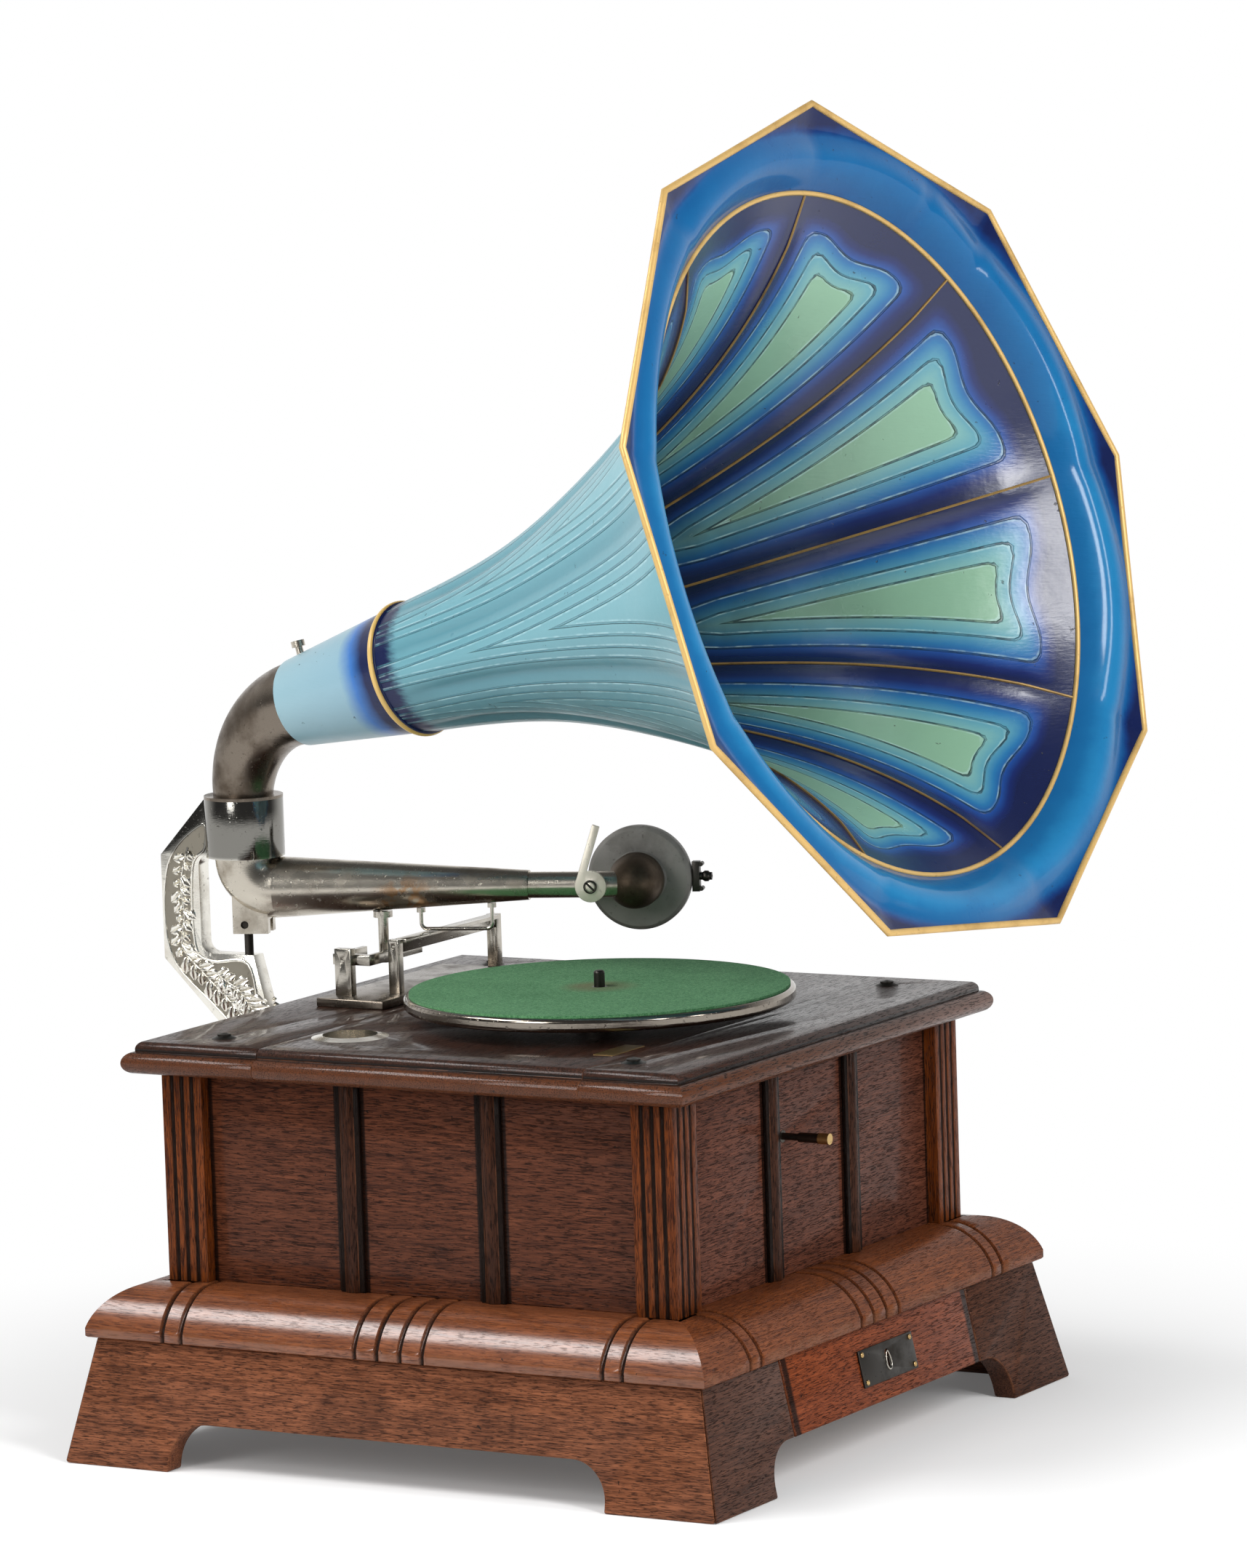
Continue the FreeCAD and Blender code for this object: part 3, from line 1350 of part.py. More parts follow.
def soundbox():
    """The sound box: a shell with its hub, the diaphragm, the needle lever and the needle."""
    back = "crook_spigot + clear_gap"
    front = f"({back} + soundbox_depth)"
    bore = "sleeve_radius + running_gap"
    hub_end = f"{back} - soundbox_hub_length + soundbox_hub_round / 2"
    shell = [
        (bore, hub_end),
        ("soundbox_hub_radius - soundbox_hub_round", hub_end),
        ("soundbox_hub_radius", back),
        ("soundbox_radius - soundbox_wall", back),
        ("soundbox_radius", f"{back} + soundbox_wall"),
        ("soundbox_radius", f"{front} - soundbox_wall"),
        ("soundbox_radius - soundbox_wall", front),
        ("soundbox_radius - soundbox_lip", front),
        ("soundbox_radius - soundbox_lip", f"{front} - diaphragm_recess"),
        ("soundbox_radius - soundbox_wall", f"{front} - diaphragm_recess"),
        ("soundbox_radius - soundbox_wall", f"{front} - diaphragm_recess - diaphragm_thickness"),
        ("soundbox_radius - soundbox_lip", f"{front} - diaphragm_recess - diaphragm_thickness"),
        ("soundbox_radius - soundbox_lip", f"{back} + soundbox_wall"),
        (bore, f"{back} + soundbox_wall"),
    ]
    node("soundbox_shell", turned("soundbox_shell_turned", shell), soundbox_place())
    disc = rod("diaphragmDisc", "soundbox_radius - soundbox_wall", "diaphragm_thickness", "0", "0",
               f"{front} - diaphragm_recess - diaphragm_thickness")
    node("diaphragm", disc, soundbox_place())
    block = box("needleBlock", "needle_block_length", "needle_block_width", "needle_block_depth",
                "soundbox_radius", "-needle_block_width / 2", f"{front} - needle_block_depth")
    bar = rod("needleBar", "needle_bar_radius", "soundbox_radius + needle_block_length", "0", "0",
              f"{front} + needle_bar_radius", X_AXIS)
    foot = rod("needleFoot", "needle_foot_radius", "diaphragm_recess + needle_bar_radius", "0", "0",
               f"{front} - diaphragm_recess")
    post = box("needlePost", "needle_block_length", "needle_block_length",
               "needle_bar_radius * 2 + needle_block_depth / 2", "soundbox_radius",
               "-needle_block_length / 2", f"{front} - needle_block_depth / 2")
    chuck = rod("needleChuck", "chuck_radius", "chuck_length", "soundbox_radius + needle_block_length",
                "0", f"{front} - needle_block_depth / 2", X_AXIS)
    bore = rod("chuckBore", "needle_radius", "chuck_length",
               "soundbox_radius + needle_block_length", "0",
               f"{front} - needle_block_depth / 2", X_AXIS)
    lever = fuse("needle_lever_fused", block, bar, foot, post, chuck)
    node("needle_lever", cut("needle_lever_cut", lever, bore), soundbox_place())
    start = "(soundbox_radius + needle_block_length)"
    needle = [
        ("0", start),
        ("needle_radius", start),
        ("needle_radius", "needle_reach - needle_point"),
        ("0", "needle_reach"),
    ]
    spot = Placement(Vector(0, 0, value(f"{front} - needle_block_depth / 2")), Rotation(Z_AXIS, X_AXIS))
    node("needle", turned("needle_turned", needle), soundbox_place().multiply(spot))


def clamp_lever():
    """A round clamp plate with a finger lever, turning on a screw in the sleeve's side."""
    side = "-sleeve_radius - clear_gap"
    disc = rod("clampDisc", "clamp_radius", "clamp_thickness", "0", "0", "0")
    finger = box("clampFinger", "clamp_lever_length", "clamp_lever_width", "clamp_thickness",
                 "0", "clamp_radius - clamp_lever_width", "0")
    head = rod("clampHead", "clamp_screw_radius", "clamp_thickness + clamp_screw_head", "0", "0", "0")
    pin = rod("clampPin", "clamp_pin_radius", "clear_gap + sleeve_wall", "0", "0",
              "-clear_gap - sleeve_wall")
    turn = Rotation(Y_AXIS, -QUARTER_TURN).multiply(Rotation(Z_AXIS, -value("clamp_lean")))
    place = Placement(Vector(value(side), -value("clamp_place"), value(ARM_Z)), turn)
    node("clamp_lever", fuse("clamp_lever_fused", disc, finger, head, pin), arm_place().multiply(place))


def lift_gear():
    """Base plate, trip post, rail posts, trip lever and lift rail on the rear plank."""
    plate = box("gearPlate", "gear_plate_right - gear_plate_left", "gear_plate_back - gear_plate_front",
                "gear_plate_height", "gear_plate_left", "gear_plate_front", TOP)
    node("lift_base", plate, HOME)
    pin_z = f"({GEAR_Z} + trip_post_height - trip_pin_drop)"
    post = box("tripPost", "trip_post_width", "trip_post_depth", "trip_post_height",
               "trip_post_x - trip_post_width / 2", "trip_post_y - trip_post_depth / 2", GEAR_Z)
    eye = rod("tripEye", "trip_pin_radius + running_gap", "trip_post_width + 2 * overrun",
              "trip_post_x - trip_post_width / 2 - overrun", "trip_post_y", pin_z, X_AXIS)
    trip_post = cut("trip_post_cut", post, eye)
    face = "(trip_post_x + trip_post_width / 2 + clear_gap)"
    foot = f"{pin_z} - trip_arm_height / 2"
    bridge = box("tripBridge", "trip_bridge", "trip_back_y + trip_prong - trip_front_y", "trip_arm_height",
                 face, "trip_front_y", foot)
    front = box("tripFront", f"trip_front_end - {face}", "trip_prong", "trip_arm_height", face,
                "trip_front_y", foot)
    back = box("tripBack", f"trip_back_end - {face}", "trip_prong", "trip_arm_height", face,
               "trip_back_y", foot)
    pin = rod("tripPin", "trip_pin_radius", "trip_post_width + clear_gap",
              "trip_post_x - trip_post_width / 2", "trip_post_y", pin_z, X_AXIS)
    node("trip_lever", fuse("trip_lever_fused", bridge, front, back, pin), HOME)
    rail_parts(trip_post)


def rail_post_places():
    """The left sides of the two rail posts, at the rail's ends."""
    return ("rail_left - rail_post_width - clear_gap", "rail_right + clear_gap")


def rail_parts(trip_post):
    """The lift rail, pivoted on pins between two posts."""
    axis_z = f"({TOP} + rail_top_rise - rail_depth / 2)"
    bar = box("railBar", "rail_right - rail_left", "rail_width", "rail_depth", "rail_left",
              "rail_y - rail_width / 2", f"{axis_z} - rail_depth / 2")
    blade = box("railBlade", "rail_right - rail_left", "rail_blade + rail_width", "rail_width / 2",
                "rail_left", "rail_y - rail_width / 2 - rail_blade",
                f"{axis_z} + rail_depth / 2 - rail_width / 2")
    pin = rod("railPin", "rail_pin_radius", "rail_right - rail_left + 2 * rail_post_width",
              "rail_left - rail_post_width", "rail_y", axis_z, X_AXIS)
    node("lift_rail", fuse("lift_rail_fused", bar, blade, pin), HOME)
    posts = [trip_post]
    for index, x in enumerate(rail_post_places()):
        post = box(f"railPost{index}", "rail_post_width", "rail_post_depth",
                   f"{axis_z} + rail_post_cheek + rail_pin_radius - {GEAR_Z}", x,
                   "rail_y - rail_post_depth / 2", GEAR_Z)
        eye = rod(f"railEye{index}", "rail_pin_radius + running_gap", "rail_post_width + 2 * overrun",
                  f"{x} - overrun", "rail_y", axis_z, X_AXIS)
        posts.append(cut(f"railPostCut{index}", post, eye))
    node("lift_posts", group("lift_posts_group", posts), HOME)


def toothed_outline(teeth, pitch_radius):
    """The corners of a spur wheel's outline, four to a tooth, with a tooth on the X axis."""
    module = 2 * pitch_radius / teeth
    pitch = 2 * math.pi / teeth
    rings = (
        (pitch_radius - DEDENDUM_SHARE * module, -TOOTH_ROOT_SHARE / 2),
        (pitch_radius, -TOOTH_PITCH_SHARE / 2),
        (pitch_radius + ADDENDUM_SHARE * module, -TOOTH_TIP_SHARE / 2),
        (pitch_radius + ADDENDUM_SHARE * module, TOOTH_TIP_SHARE / 2),
        (pitch_radius, TOOTH_PITCH_SHARE / 2),
        (pitch_radius - DEDENDUM_SHARE * module, TOOTH_ROOT_SHARE / 2),
    )
    corners = []
    for tooth in range(teeth):
        for radius, share in rings:
            angle = (tooth + share) * pitch
            corners.append(Vector(radius * math.cos(angle), radius * math.sin(angle), 0))
    return corners


def spur(teeth, pitch_radius, thickness, foot, phase):
    """A spur wheel standing on a height, turned so that a tooth points along phase degrees."""
    corners = toothed_outline(teeth, pitch_radius)
    face = Part.Face(Part.makePolygon(corners + corners[:1]))
    wheel = face.extrude(Vector(0, 0, thickness))
    wheel.rotate(Vector(), Z_AXIS, phase)
    wheel.translate(Vector(0, 0, foot))
    return wheel


def train():
    """Places, radii and phases of the wheels that mesh in the motor."""
    spindle = Vector(value("spindle_x"), value("spindle_y"), 0)
    crown_pitch = value("crown_radius")
    pinion_radius = crown_pitch * CROWN_PINION_TEETH / CROWN_TEETH
    crown_face_y = value("cheek_rear_y - crown_face") - pinion_radius
    layshaft = Vector(value("arbor_x"), crown_face_y + pinion_radius, 0)
    governor = Vector(value("governor_x"), value("governor_y"), 0)
    return spindle, layshaft, governor, pinion_radius, crown_face_y


def bearing_angle(first, second):
    """The direction from one axis to another, in degrees."""
    return math.degrees(math.atan2(second.y - first.y, second.x - first.x))


def gap_phase(direction, teeth):
    """The turn that puts a gap between two teeth in a direction."""
    return direction + FULL_TURN / teeth / 2


def motor_frame():
    """Upper plate with two cheeks for the barrel, lower plate and four pillars."""
    width = "motor_right - motor_left"
    depth = "motor_back - motor_front"
    upper = box("motorUpper", width, depth, "motor_plate", "motor_left", "motor_front", MOTOR_TOP)
    drop = f"({MOTOR_TOP} - {BRIDGE_Z})"
    cheeks = [box(f"motorCheek{index}", "cheek_width", "motor_plate", drop, "arbor_x - cheek_width / 2", y,
                  f"{MOTOR_TOP} - {drop}")
              for index, y in enumerate(("motor_front", "cheek_rear_y"))]
    bridge = box("motorBridge", "cheek_width", "crown_face + bridge_lap + motor_plate", "motor_plate",
                 "arbor_x - cheek_width / 2", "cheek_rear_y - crown_face - bridge_lap",
                 f"{MOTOR_TOP} - {drop}")
    deep = f"{depth} + 2 * overrun"
    arbor = rod("arborBores", "arbor_radius + running_gap", deep, "arbor_x", "motor_front - overrun", ARBOR_Z,
                Y_AXIS)
    spindle_bore = rod("upperBore", "spindle_shaft_radius + running_gap", "motor_plate + 2 * overrun",
                       "spindle_x", "spindle_y", f"{MOTOR_TOP} - overrun")
    lay_bore = rod("layBore", "intermediate_radius + running_gap", "motor_plate + 2 * overrun", "arbor_x",
                   "cheek_rear_y - crown_face", f"{MOTOR_TOP} - {drop} - overrun")
    governor_bore = rod("governorBore", "governor_radius + running_gap", "motor_plate + overrun",
                        "governor_x", "governor_y",
                        f"{MOTOR_TOP} - motor_plate / 2 - overrun")
    pawl_bore = rod("pawlBore", "pawl_pin_radius + running_gap", "motor_plate + 2 * overrun", PAWL_X,
                    "motor_front - overrun", PAWL_Z, Y_AXIS)
    casting = fuse("motorCasting", upper, *cheeks, bridge)
    node("motor_frame", cut("motor_frame_cut", casting, arbor, spindle_bore, lay_bore, governor_bore,
                            pawl_bore), HOME)
    lower = box("motorLower", width, depth, "motor_plate", "motor_left", "motor_front", MOTOR_FOOT)
    bores = [rod("lowerSpindle", "spindle_shaft_radius + running_gap", "motor_plate + 2 * overrun",
                 "spindle_x", "spindle_y", f"{MOTOR_FOOT} + motor_plate / 2"),
             rod("lowerLay", "intermediate_radius + running_gap", "motor_plate + 2 * overrun", "arbor_x",
                 "cheek_rear_y - crown_face", f"{MOTOR_FOOT} + motor_plate / 2"),
             rod("lowerGovernor", "governor_radius + running_gap", "motor_plate + 2 * overrun",
                 "governor_x", "governor_y", f"{MOTOR_FOOT} + motor_plate / 2")]
    node("motor_lower_plate", cut("motor_lower_cut", lower, *bores), HOME)
    pillars = [rod(f"motorPillar{index}", "pillar_radius", f"{MOTOR_TOP} - {MOTOR_FOOT} - motor_plate", x, y,
                   f"{MOTOR_FOOT} + motor_plate")
               for index, (x, y) in enumerate(
                   (x, y) for x in ("motor_left + pillar_inset", "motor_right - pillar_inset")
                   for y in ("motor_front + pillar_inset", "motor_back - pillar_inset"))]
    node("motor_pillars", group("motor_pillars_group", pillars), HOME)


def ring_of(shape, axis, centre, count):
    """Copies of a shape, evenly turned about an axis."""
    copies = []
    for index in range(count):
        copy = shape.copy()
        copy.rotate(centre, axis, index * FULL_TURN / count)
        copies.append(copy)
    return copies


def crown_teeth(pitch_y):
    """The crown wheel's teeth, which stand along +Y and leave a gap at the bottom."""
    radius = value("crown_radius")
    pitch = 2 * math.pi * radius / CROWN_TEETH
    module = 2 * radius / CROWN_TEETH
    inner = radius - value("crown_face / 2")
    heights = (-DEDENDUM_SHARE - ADDENDUM_SHARE, 0, ADDENDUM_SHARE)
    halves = (TOOTH_ROOT_SHARE / 2, TOOTH_PITCH_SHARE / 2, TOOTH_TIP_SHARE / 2)
    centre = Vector(value("arbor_x"), 0, value(ARBOR_Z))
    right = [Vector(half * pitch, pitch_y + height * module, -inner)
             for half, height in zip(halves, heights)]
    left = [Vector(-point.x, point.y, point.z) for point in reversed(right)]
    face = Part.Face(Part.makePolygon(right + left + right[:1]))
    tooth = face.extrude(Vector(0, 0, -value("crown_face")))
    tooth.translate(centre)
    tooth.rotate(centre, Y_AXIS, FULL_TURN / CROWN_TEETH / 2)
    return ring_of(tooth, Y_AXIS, centre, CROWN_TEETH)


def spring_barrel():
    """The closed spring barrel with its crown wheel, free on the winding arbor."""
    _, _, _, _, pitch_y = train()
    module = value("2 * crown_radius") / CROWN_TEETH
    root_y = pitch_y - DEDENDUM_SHARE * module
    plate = value("crown_plate")
    axis = Vector(value("arbor_x"), 0, value(ARBOR_Z))

    def drum(radius, start, length):
        return Part.makeCylinder(radius, length, axis + Vector(0, start, 0), Y_AXIS)

    rim = value("crown_radius + crown_face / 2")
    body = drum(value("barrel_radius"), root_y - plate - value("barrel_length"), value("barrel_length"))
    disc = drum(rim, root_y - plate, plate)
    shape = body.multiFuse([disc] + crown_teeth(pitch_y))
    reach = value("barrel_length + 2 * overrun") + plate
    bore = drum(value("arbor_radius + running_gap"), root_y - reach, 2 * reach)
    node("spring_barrel", solid("spring_barrel_shape", shape.cut(bore).removeSplitter()), HOME)


def winding_arbor():
    """The arbor through barrel and front panel: ratchet wheel inside, rod and brass tip outside."""
    rear = "(cheek_rear_y + motor_plate)"
    face = "(panel_recess - case_side / 2)"
    turn = Vector(0, -1, 0)
    start = f"({face} - arbor_front_reach + arbor_tip_length + arbor_sleeve_length)"
    inner = rod("arborShaft", "arbor_radius", f"{rear} - {face}", "arbor_x", rear, ARBOR_Z, turn)
    thin = rod("arborRod", "arbor_rod_radius", f"{face} - {start}", "arbor_x", face, ARBOR_Z, turn)
    sleeve = rod("arborSleeve", "arbor_sleeve_radius", "arbor_sleeve_length", "arbor_x", start, ARBOR_Z, turn)
    tip = rod("arborTip", "arbor_tip_radius", "arbor_tip_length", "arbor_x", f"{start} - arbor_sleeve_length",
              ARBOR_Z, turn)
    node("winding_arbor", fuse("winding_arbor_fused", inner, thin, sleeve, tip, ratchet_wheel()), HOME)


def ratchet_wheel():
    """A saw-toothed wheel behind the front cheek."""
    radius = value("ratchet_radius")
    low = radius * (1 - RATCHET_DEPTH_SHARE)
    step = 2 * math.pi / RATCHET_TEETH
    corners = []
    for tooth in range(RATCHET_TEETH):
        angle = tooth * step
        corners.append(Vector(low * math.cos(angle), low * math.sin(angle), 0))
        corners.append(Vector(radius * math.cos(angle), radius * math.sin(angle), 0))
    face = Part.Face(Part.makePolygon(corners + corners[:1]))
    wheel = solid("ratchetWheel", face.extrude(Vector(0, 0, value("ratchet_thickness"))))
    spot = Vector(value("arbor_x"), value("motor_front + motor_plate + sliding_gap"), value(ARBOR_Z))
    wheel.Placement = Placement(spot, Rotation(Z_AXIS, Y_AXIS))
    return wheel


def ratchet_pawl():
    """The click that rides on the ratchet wheel, on a pin in the front cheek."""
    start = "motor_front + motor_plate + sliding_gap"
    bar = box("pawlBar", "pawl_length", "ratchet_thickness", "pawl_width", "arbor_x - pawl_width / 2",
              start, f"{PAWL_Z} - pawl_width / 2")
    pin = rod("pawlPin", "pawl_pin_radius", "ratchet_thickness + sliding_gap + motor_plate", PAWL_X,
              "motor_front", PAWL_Z, Y_AXIS)
    node("ratchet_pawl", fuse("ratchet_pawl_fused", bar, pin), HOME)


def layshaft():
    """The upright second arbor: a pinion under the crown wheel and a wheel that drives the spindle."""
    spindle, place, _, pinion_radius, _ = train()
    angle = bearing_angle(place, spindle)
    distance = (spindle - place).Length
    radius = distance * WHEEL_TEETH / (WHEEL_TEETH + SPINDLE_PINION_TEETH)
    thickness = value("wheel_thickness")
    wheel = spur(WHEEL_TEETH, radius, thickness, value(WHEEL_Z), angle)
    pinion_foot = value(f"{ARBOR_Z} - crown_radius - pinion_height / 2")
    pinion = spur(CROWN_PINION_TEETH, pinion_radius, value("pinion_height"), pinion_foot, -QUARTER_TURN)
    foot = value(SHAFT_FOOT)
    shaft = Part.makeCylinder(value("intermediate_radius"), value(f"{BRIDGE_Z} + motor_plate") - foot,
                              Vector(0, 0, foot))
    shape = shaft.multiFuse([wheel, pinion])
    shape.translate(place)
    node("layshaft", solid("layshaft_shape", shape), HOME)


def spindle_wheels():
    """The spindle's pinion and the wheel that drives the governor."""
    spindle, place, governor, _, _ = train()
    distance = (spindle - place).Length
    radius = distance * SPINDLE_PINION_TEETH / (WHEEL_TEETH + SPINDLE_PINION_TEETH)
    phase = gap_phase(bearing_angle(spindle, place), SPINDLE_PINION_TEETH)
    pinion = spur(SPINDLE_PINION_TEETH, radius, value("pinion_height"),
                  value(f"{WHEEL_Z} - (pinion_height - wheel_thickness) / 2"), phase)
    reach = (governor - spindle).Length
    wheel_radius = reach * GOVERNOR_WHEEL_TEETH / (GOVERNOR_WHEEL_TEETH + GOVERNOR_PINION_TEETH)
    wheel = spur(GOVERNOR_WHEEL_TEETH, wheel_radius, value("wheel_thickness"), value(GOVERNOR_Z),
                 bearing_angle(spindle, governor))
    pieces = []
    for name, shape in (("spindlePinion", pinion), ("governorWheel", wheel)):
        shape.translate(spindle)
        pieces.append(solid(name, shape))
    return pieces


def governor():
    """The upright governor: pinion, two collars and three weights on leaf springs."""
    spindle, _, place, _, _ = train()
    reach = (place - spindle).Length
    radius = reach * GOVERNOR_PINION_TEETH / (GOVERNOR_WHEEL_TEETH + GOVERNOR_PINION_TEETH)
    phase = gap_phase(bearing_angle(place, spindle), GOVERNOR_PINION_TEETH)
    pinion = spur(GOVERNOR_PINION_TEETH, radius, value("wheel_thickness"), value(GOVERNOR_Z), phase)
    foot = value(SHAFT_FOOT)
    top = value(f"{MOTOR_TOP} + motor_plate / 2")
    shaft = Part.makeCylinder(value("governor_radius"), top - foot, Vector(0, 0, foot))
    low = value(f"{GOVERNOR_Z} + pinion_height")
    span = value("governor_spring_span")
    height = value("governor_collar_height")
    collar = value("governor_collar_radius")
    collars = [Part.makeCylinder(collar, height, Vector(0, 0, z)) for z in (low, low + span)]
    width = value("governor_spring_width")
    leaf = Part.makeBox(value("governor_spring_thickness"), width, span + height,
                        Vector(collar - value("governor_spring_thickness"), -width / 2, low))
    ball_radius = value("governor_ball_radius")
    ball = Part.makeSphere(ball_radius, Vector(collar + ball_radius * 2 / 3, 0, low + (span + height) / 2))
    weights = ring_of(leaf.fuse(ball), Z_AXIS, Vector(), GOVERNOR_BALLS)
    shape = shaft.multiFuse([pinion] + collars + weights)
    shape.translate(place)
    node("governor", solid("governor_shape", shape), HOME)


def chute_outline(inset, run_past):
    """The coin way's side view: from the slot in the panel down to the hole over the drawer."""
    face = "(case_side / 2 - panel_recess - panel_thickness)"
    middle = f"({BOARD_FOOT} - coin_drop)"
    half = f"({CHUTE_WIDTH} / 2 - {inset})"
    return [
        (f"{face} + {run_past}", f"{middle} + {half}"),
        (f"chute_foot_x + {inset}", f"plinth_height - {run_past}"),
        (f"chute_foot_x + {CHUTE_WIDTH} - {inset}", f"plinth_height - {run_past}"),
        (f"{face} + {run_past}", f"{middle} - {half}"),
    ]


def coin_way():
    """Slot plate, slanting chute and the lever that a falling coin presses."""
    face = "(case_side / 2 - panel_recess)"
    middle = f"({BOARD_FOOT} - coin_drop)"
    plate = box("coinPlate", "coin_plate_thickness", "coin_plate_width", "coin_plate_height", face,
                "coin_y - coin_plate_width / 2", f"{middle} - coin_plate_height / 2")
    slot = box("coinSlot", "coin_plate_thickness + 2 * overrun", "coin_slot_width", "coin_slot_height",
               f"{face} - overrun", "coin_y - coin_slot_width / 2", f"{middle} - coin_slot_height / 2")
    node("coin_slot_plate", cut("coin_slot_cut", plate, slot), HOME)
    thick = "(chute_throat + 2 * chute_wall)"
    skin = prism("chuteSkin", "XZ_Plane", chute_outline("0", "0"), thick)
    move(skin, "0", f"coin_y + {thick} / 2", "0")
    hollow = prism("chuteHollow", "XZ_Plane", chute_outline("chute_wall", "overrun"), "chute_throat")
    move(hollow, "0", "coin_y + chute_throat / 2", "0")
    height = f"({FLOOR_TOP} + coin_lever_rise)"
    window = box("chuteWindow", "coin_window_length", "chute_throat", "coin_window_height",
                 "coin_lever_post_x", "coin_y - chute_throat / 2", f"{height} - coin_window_height * 2 / 3")
    node("coin_chute", cut("coin_chute_cut", skin, hollow, window), HOME)
    coin_lever(height)


def coin_lever(height):
    """The start lever on its post: its tip stands in the chute's window."""
    half = "coin_lever_post_width / 2"
    side = "(coin_y - chute_throat / 2 - chute_wall - clear_gap)"
    post = box("leverPost", "coin_lever_post_width", "coin_lever_post_width",
               f"{height} + {half} - {FLOOR_TOP}", f"coin_lever_post_x - {half}",
               f"{side} - coin_lever_post_width", FLOOR_TOP)
    eye = rod("leverEye", "coin_lever_pin_radius + running_gap", "coin_lever_post_width + 2 * overrun",
              "coin_lever_post_x", f"{side} - coin_lever_post_width - overrun", height, Y_AXIS)
    node("coin_lever_post", cut("coin_lever_post_cut", post, eye), HOME)
    bar = box("leverBar", "coin_lever_length", "coin_lever_width", "coin_lever_thickness * 2",
              f"coin_lever_post_x - coin_lever_length * {LEVER_PIVOT_SHARE}",
              "coin_y - coin_lever_width / 2", f"{height} - coin_lever_thickness")
    pin = rod("leverPin", "coin_lever_pin_radius", f"coin_y - {side} + coin_lever_post_width",
              "coin_lever_post_x", f"{side} - coin_lever_post_width", height, Y_AXIS)
    node("coin_lever", fuse("coin_lever_fused", bar, pin), HOME)


def check_document():
    """Stops if an object failed or a sub-part's shape isn't sound."""
    for item in doc.Objects:
        if {"Invalid", "Error"} & set(item.State):
            raise RuntimeError(f"{item.Name} failed: {item.State}")
    for piece in nodes:
        if piece.Shape.isNull() or not piece.Shape.isValid() or not piece.Shape.Solids:
            raise RuntimeError(f"{piece.Label} has no sound shape")


def write_parts():
    """Writes every sub-part to its own file."""
    os.makedirs("parts", exist_ok=True)
    for piece in nodes:
        piece.Shape.exportStep(f"parts/{piece.Label}.step")


def build():
    """Builds the whole object and writes it."""
    for make in (plinth, shoulder, corner_posts, panels, mullions, case_floor, top_boards, top_screws,
                 corner_blocks, needle_cup, bare_plate, drawer, drawer_runners, lock_plate, turntable,
                 bracket, bracket_screws, horn_elbow, horn_tube, horn_petals, horn_rim, horn_fittings,
                 tone_arm,
                 pivot_pin, arm_crook, arm_stem, arm_bail, soundbox, clamp_lever, lift_gear, motor_frame,
                 spring_barrel, winding_arbor, ratchet_pawl, layshaft, governor, coin_way):
        make()
    doc.recompute()
    check_document()
    write_parts()


fill_sheet()
HOME = home_place()
build()
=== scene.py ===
"""Looks of a coin-operated phonograph with a nine-sided blue horn.

Metres, in the frame of the solids: +Z up, the front with the drawer and the horn's mouth towards
-Y. The sizes of sub-assemblies are fields in millimetres about the middle of the case.
"""

import json
import logging
import math
from contextlib import contextmanager
from dataclasses import dataclass, field
from enum import Enum
from functools import reduce
from typing import Any, Callable, Iterator, Sequence

import bmesh
import bpy
import numpy as np
from mathutils import Matrix, Vector

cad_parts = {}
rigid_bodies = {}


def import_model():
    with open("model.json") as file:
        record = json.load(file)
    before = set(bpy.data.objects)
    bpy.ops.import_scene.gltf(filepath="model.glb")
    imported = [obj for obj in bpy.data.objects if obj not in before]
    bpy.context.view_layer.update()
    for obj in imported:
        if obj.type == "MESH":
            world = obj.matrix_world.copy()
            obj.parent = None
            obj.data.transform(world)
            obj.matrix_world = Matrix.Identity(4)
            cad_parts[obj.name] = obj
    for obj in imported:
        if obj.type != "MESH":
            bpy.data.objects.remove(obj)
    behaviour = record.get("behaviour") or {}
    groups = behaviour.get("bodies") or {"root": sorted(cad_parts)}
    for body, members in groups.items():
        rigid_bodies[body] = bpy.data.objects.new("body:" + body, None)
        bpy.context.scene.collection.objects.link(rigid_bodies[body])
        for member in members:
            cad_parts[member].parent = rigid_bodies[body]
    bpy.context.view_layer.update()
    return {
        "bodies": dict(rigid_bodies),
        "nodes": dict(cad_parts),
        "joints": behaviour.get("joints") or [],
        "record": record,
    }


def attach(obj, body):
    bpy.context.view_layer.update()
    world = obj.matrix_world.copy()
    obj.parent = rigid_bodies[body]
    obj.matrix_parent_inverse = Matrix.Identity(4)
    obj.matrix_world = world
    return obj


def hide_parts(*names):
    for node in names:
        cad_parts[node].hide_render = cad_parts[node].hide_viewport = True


LOG = logging.getLogger("phonograph")
Array = np.ndarray
Material = bpy.types.Material
Mesh = bpy.types.Mesh
Piece = bpy.types.Object
Colour = tuple[float, float, float]
Pairs = tuple[tuple[float, float], ...]
MM = 0.001
HAIR = 2e-6
HOME = Vector((34.626, 26.563, 0.0))
SWIVEL = (0.0, 242.0)
ARM_YAW = 20.0
SEEN = ("Is Camera Ray", "Is Glossy Ray", "Is Transmission Ray")


def at(x: float, y: float, z: float) -> Vector:
    """A point given in millimetres about the middle of the case, in the frame's metres."""
    return (Vector((x, y, z)) + HOME) * MM


def placed(points: Array) -> Array:
    """Points given in millimetres about the middle of the case, in the frame's metres."""
    return (points + np.array(HOME)) * MM


def in_arm(points: Array) -> Array:
    """Moves points of the tone arm's own frame, -Y along the arm, into the scene."""
    turn = np.array(Matrix.Rotation(math.radians(ARM_YAW), 3, "Z"))
    return placed(points @ turn.T + (*SWIVEL, 0.0))


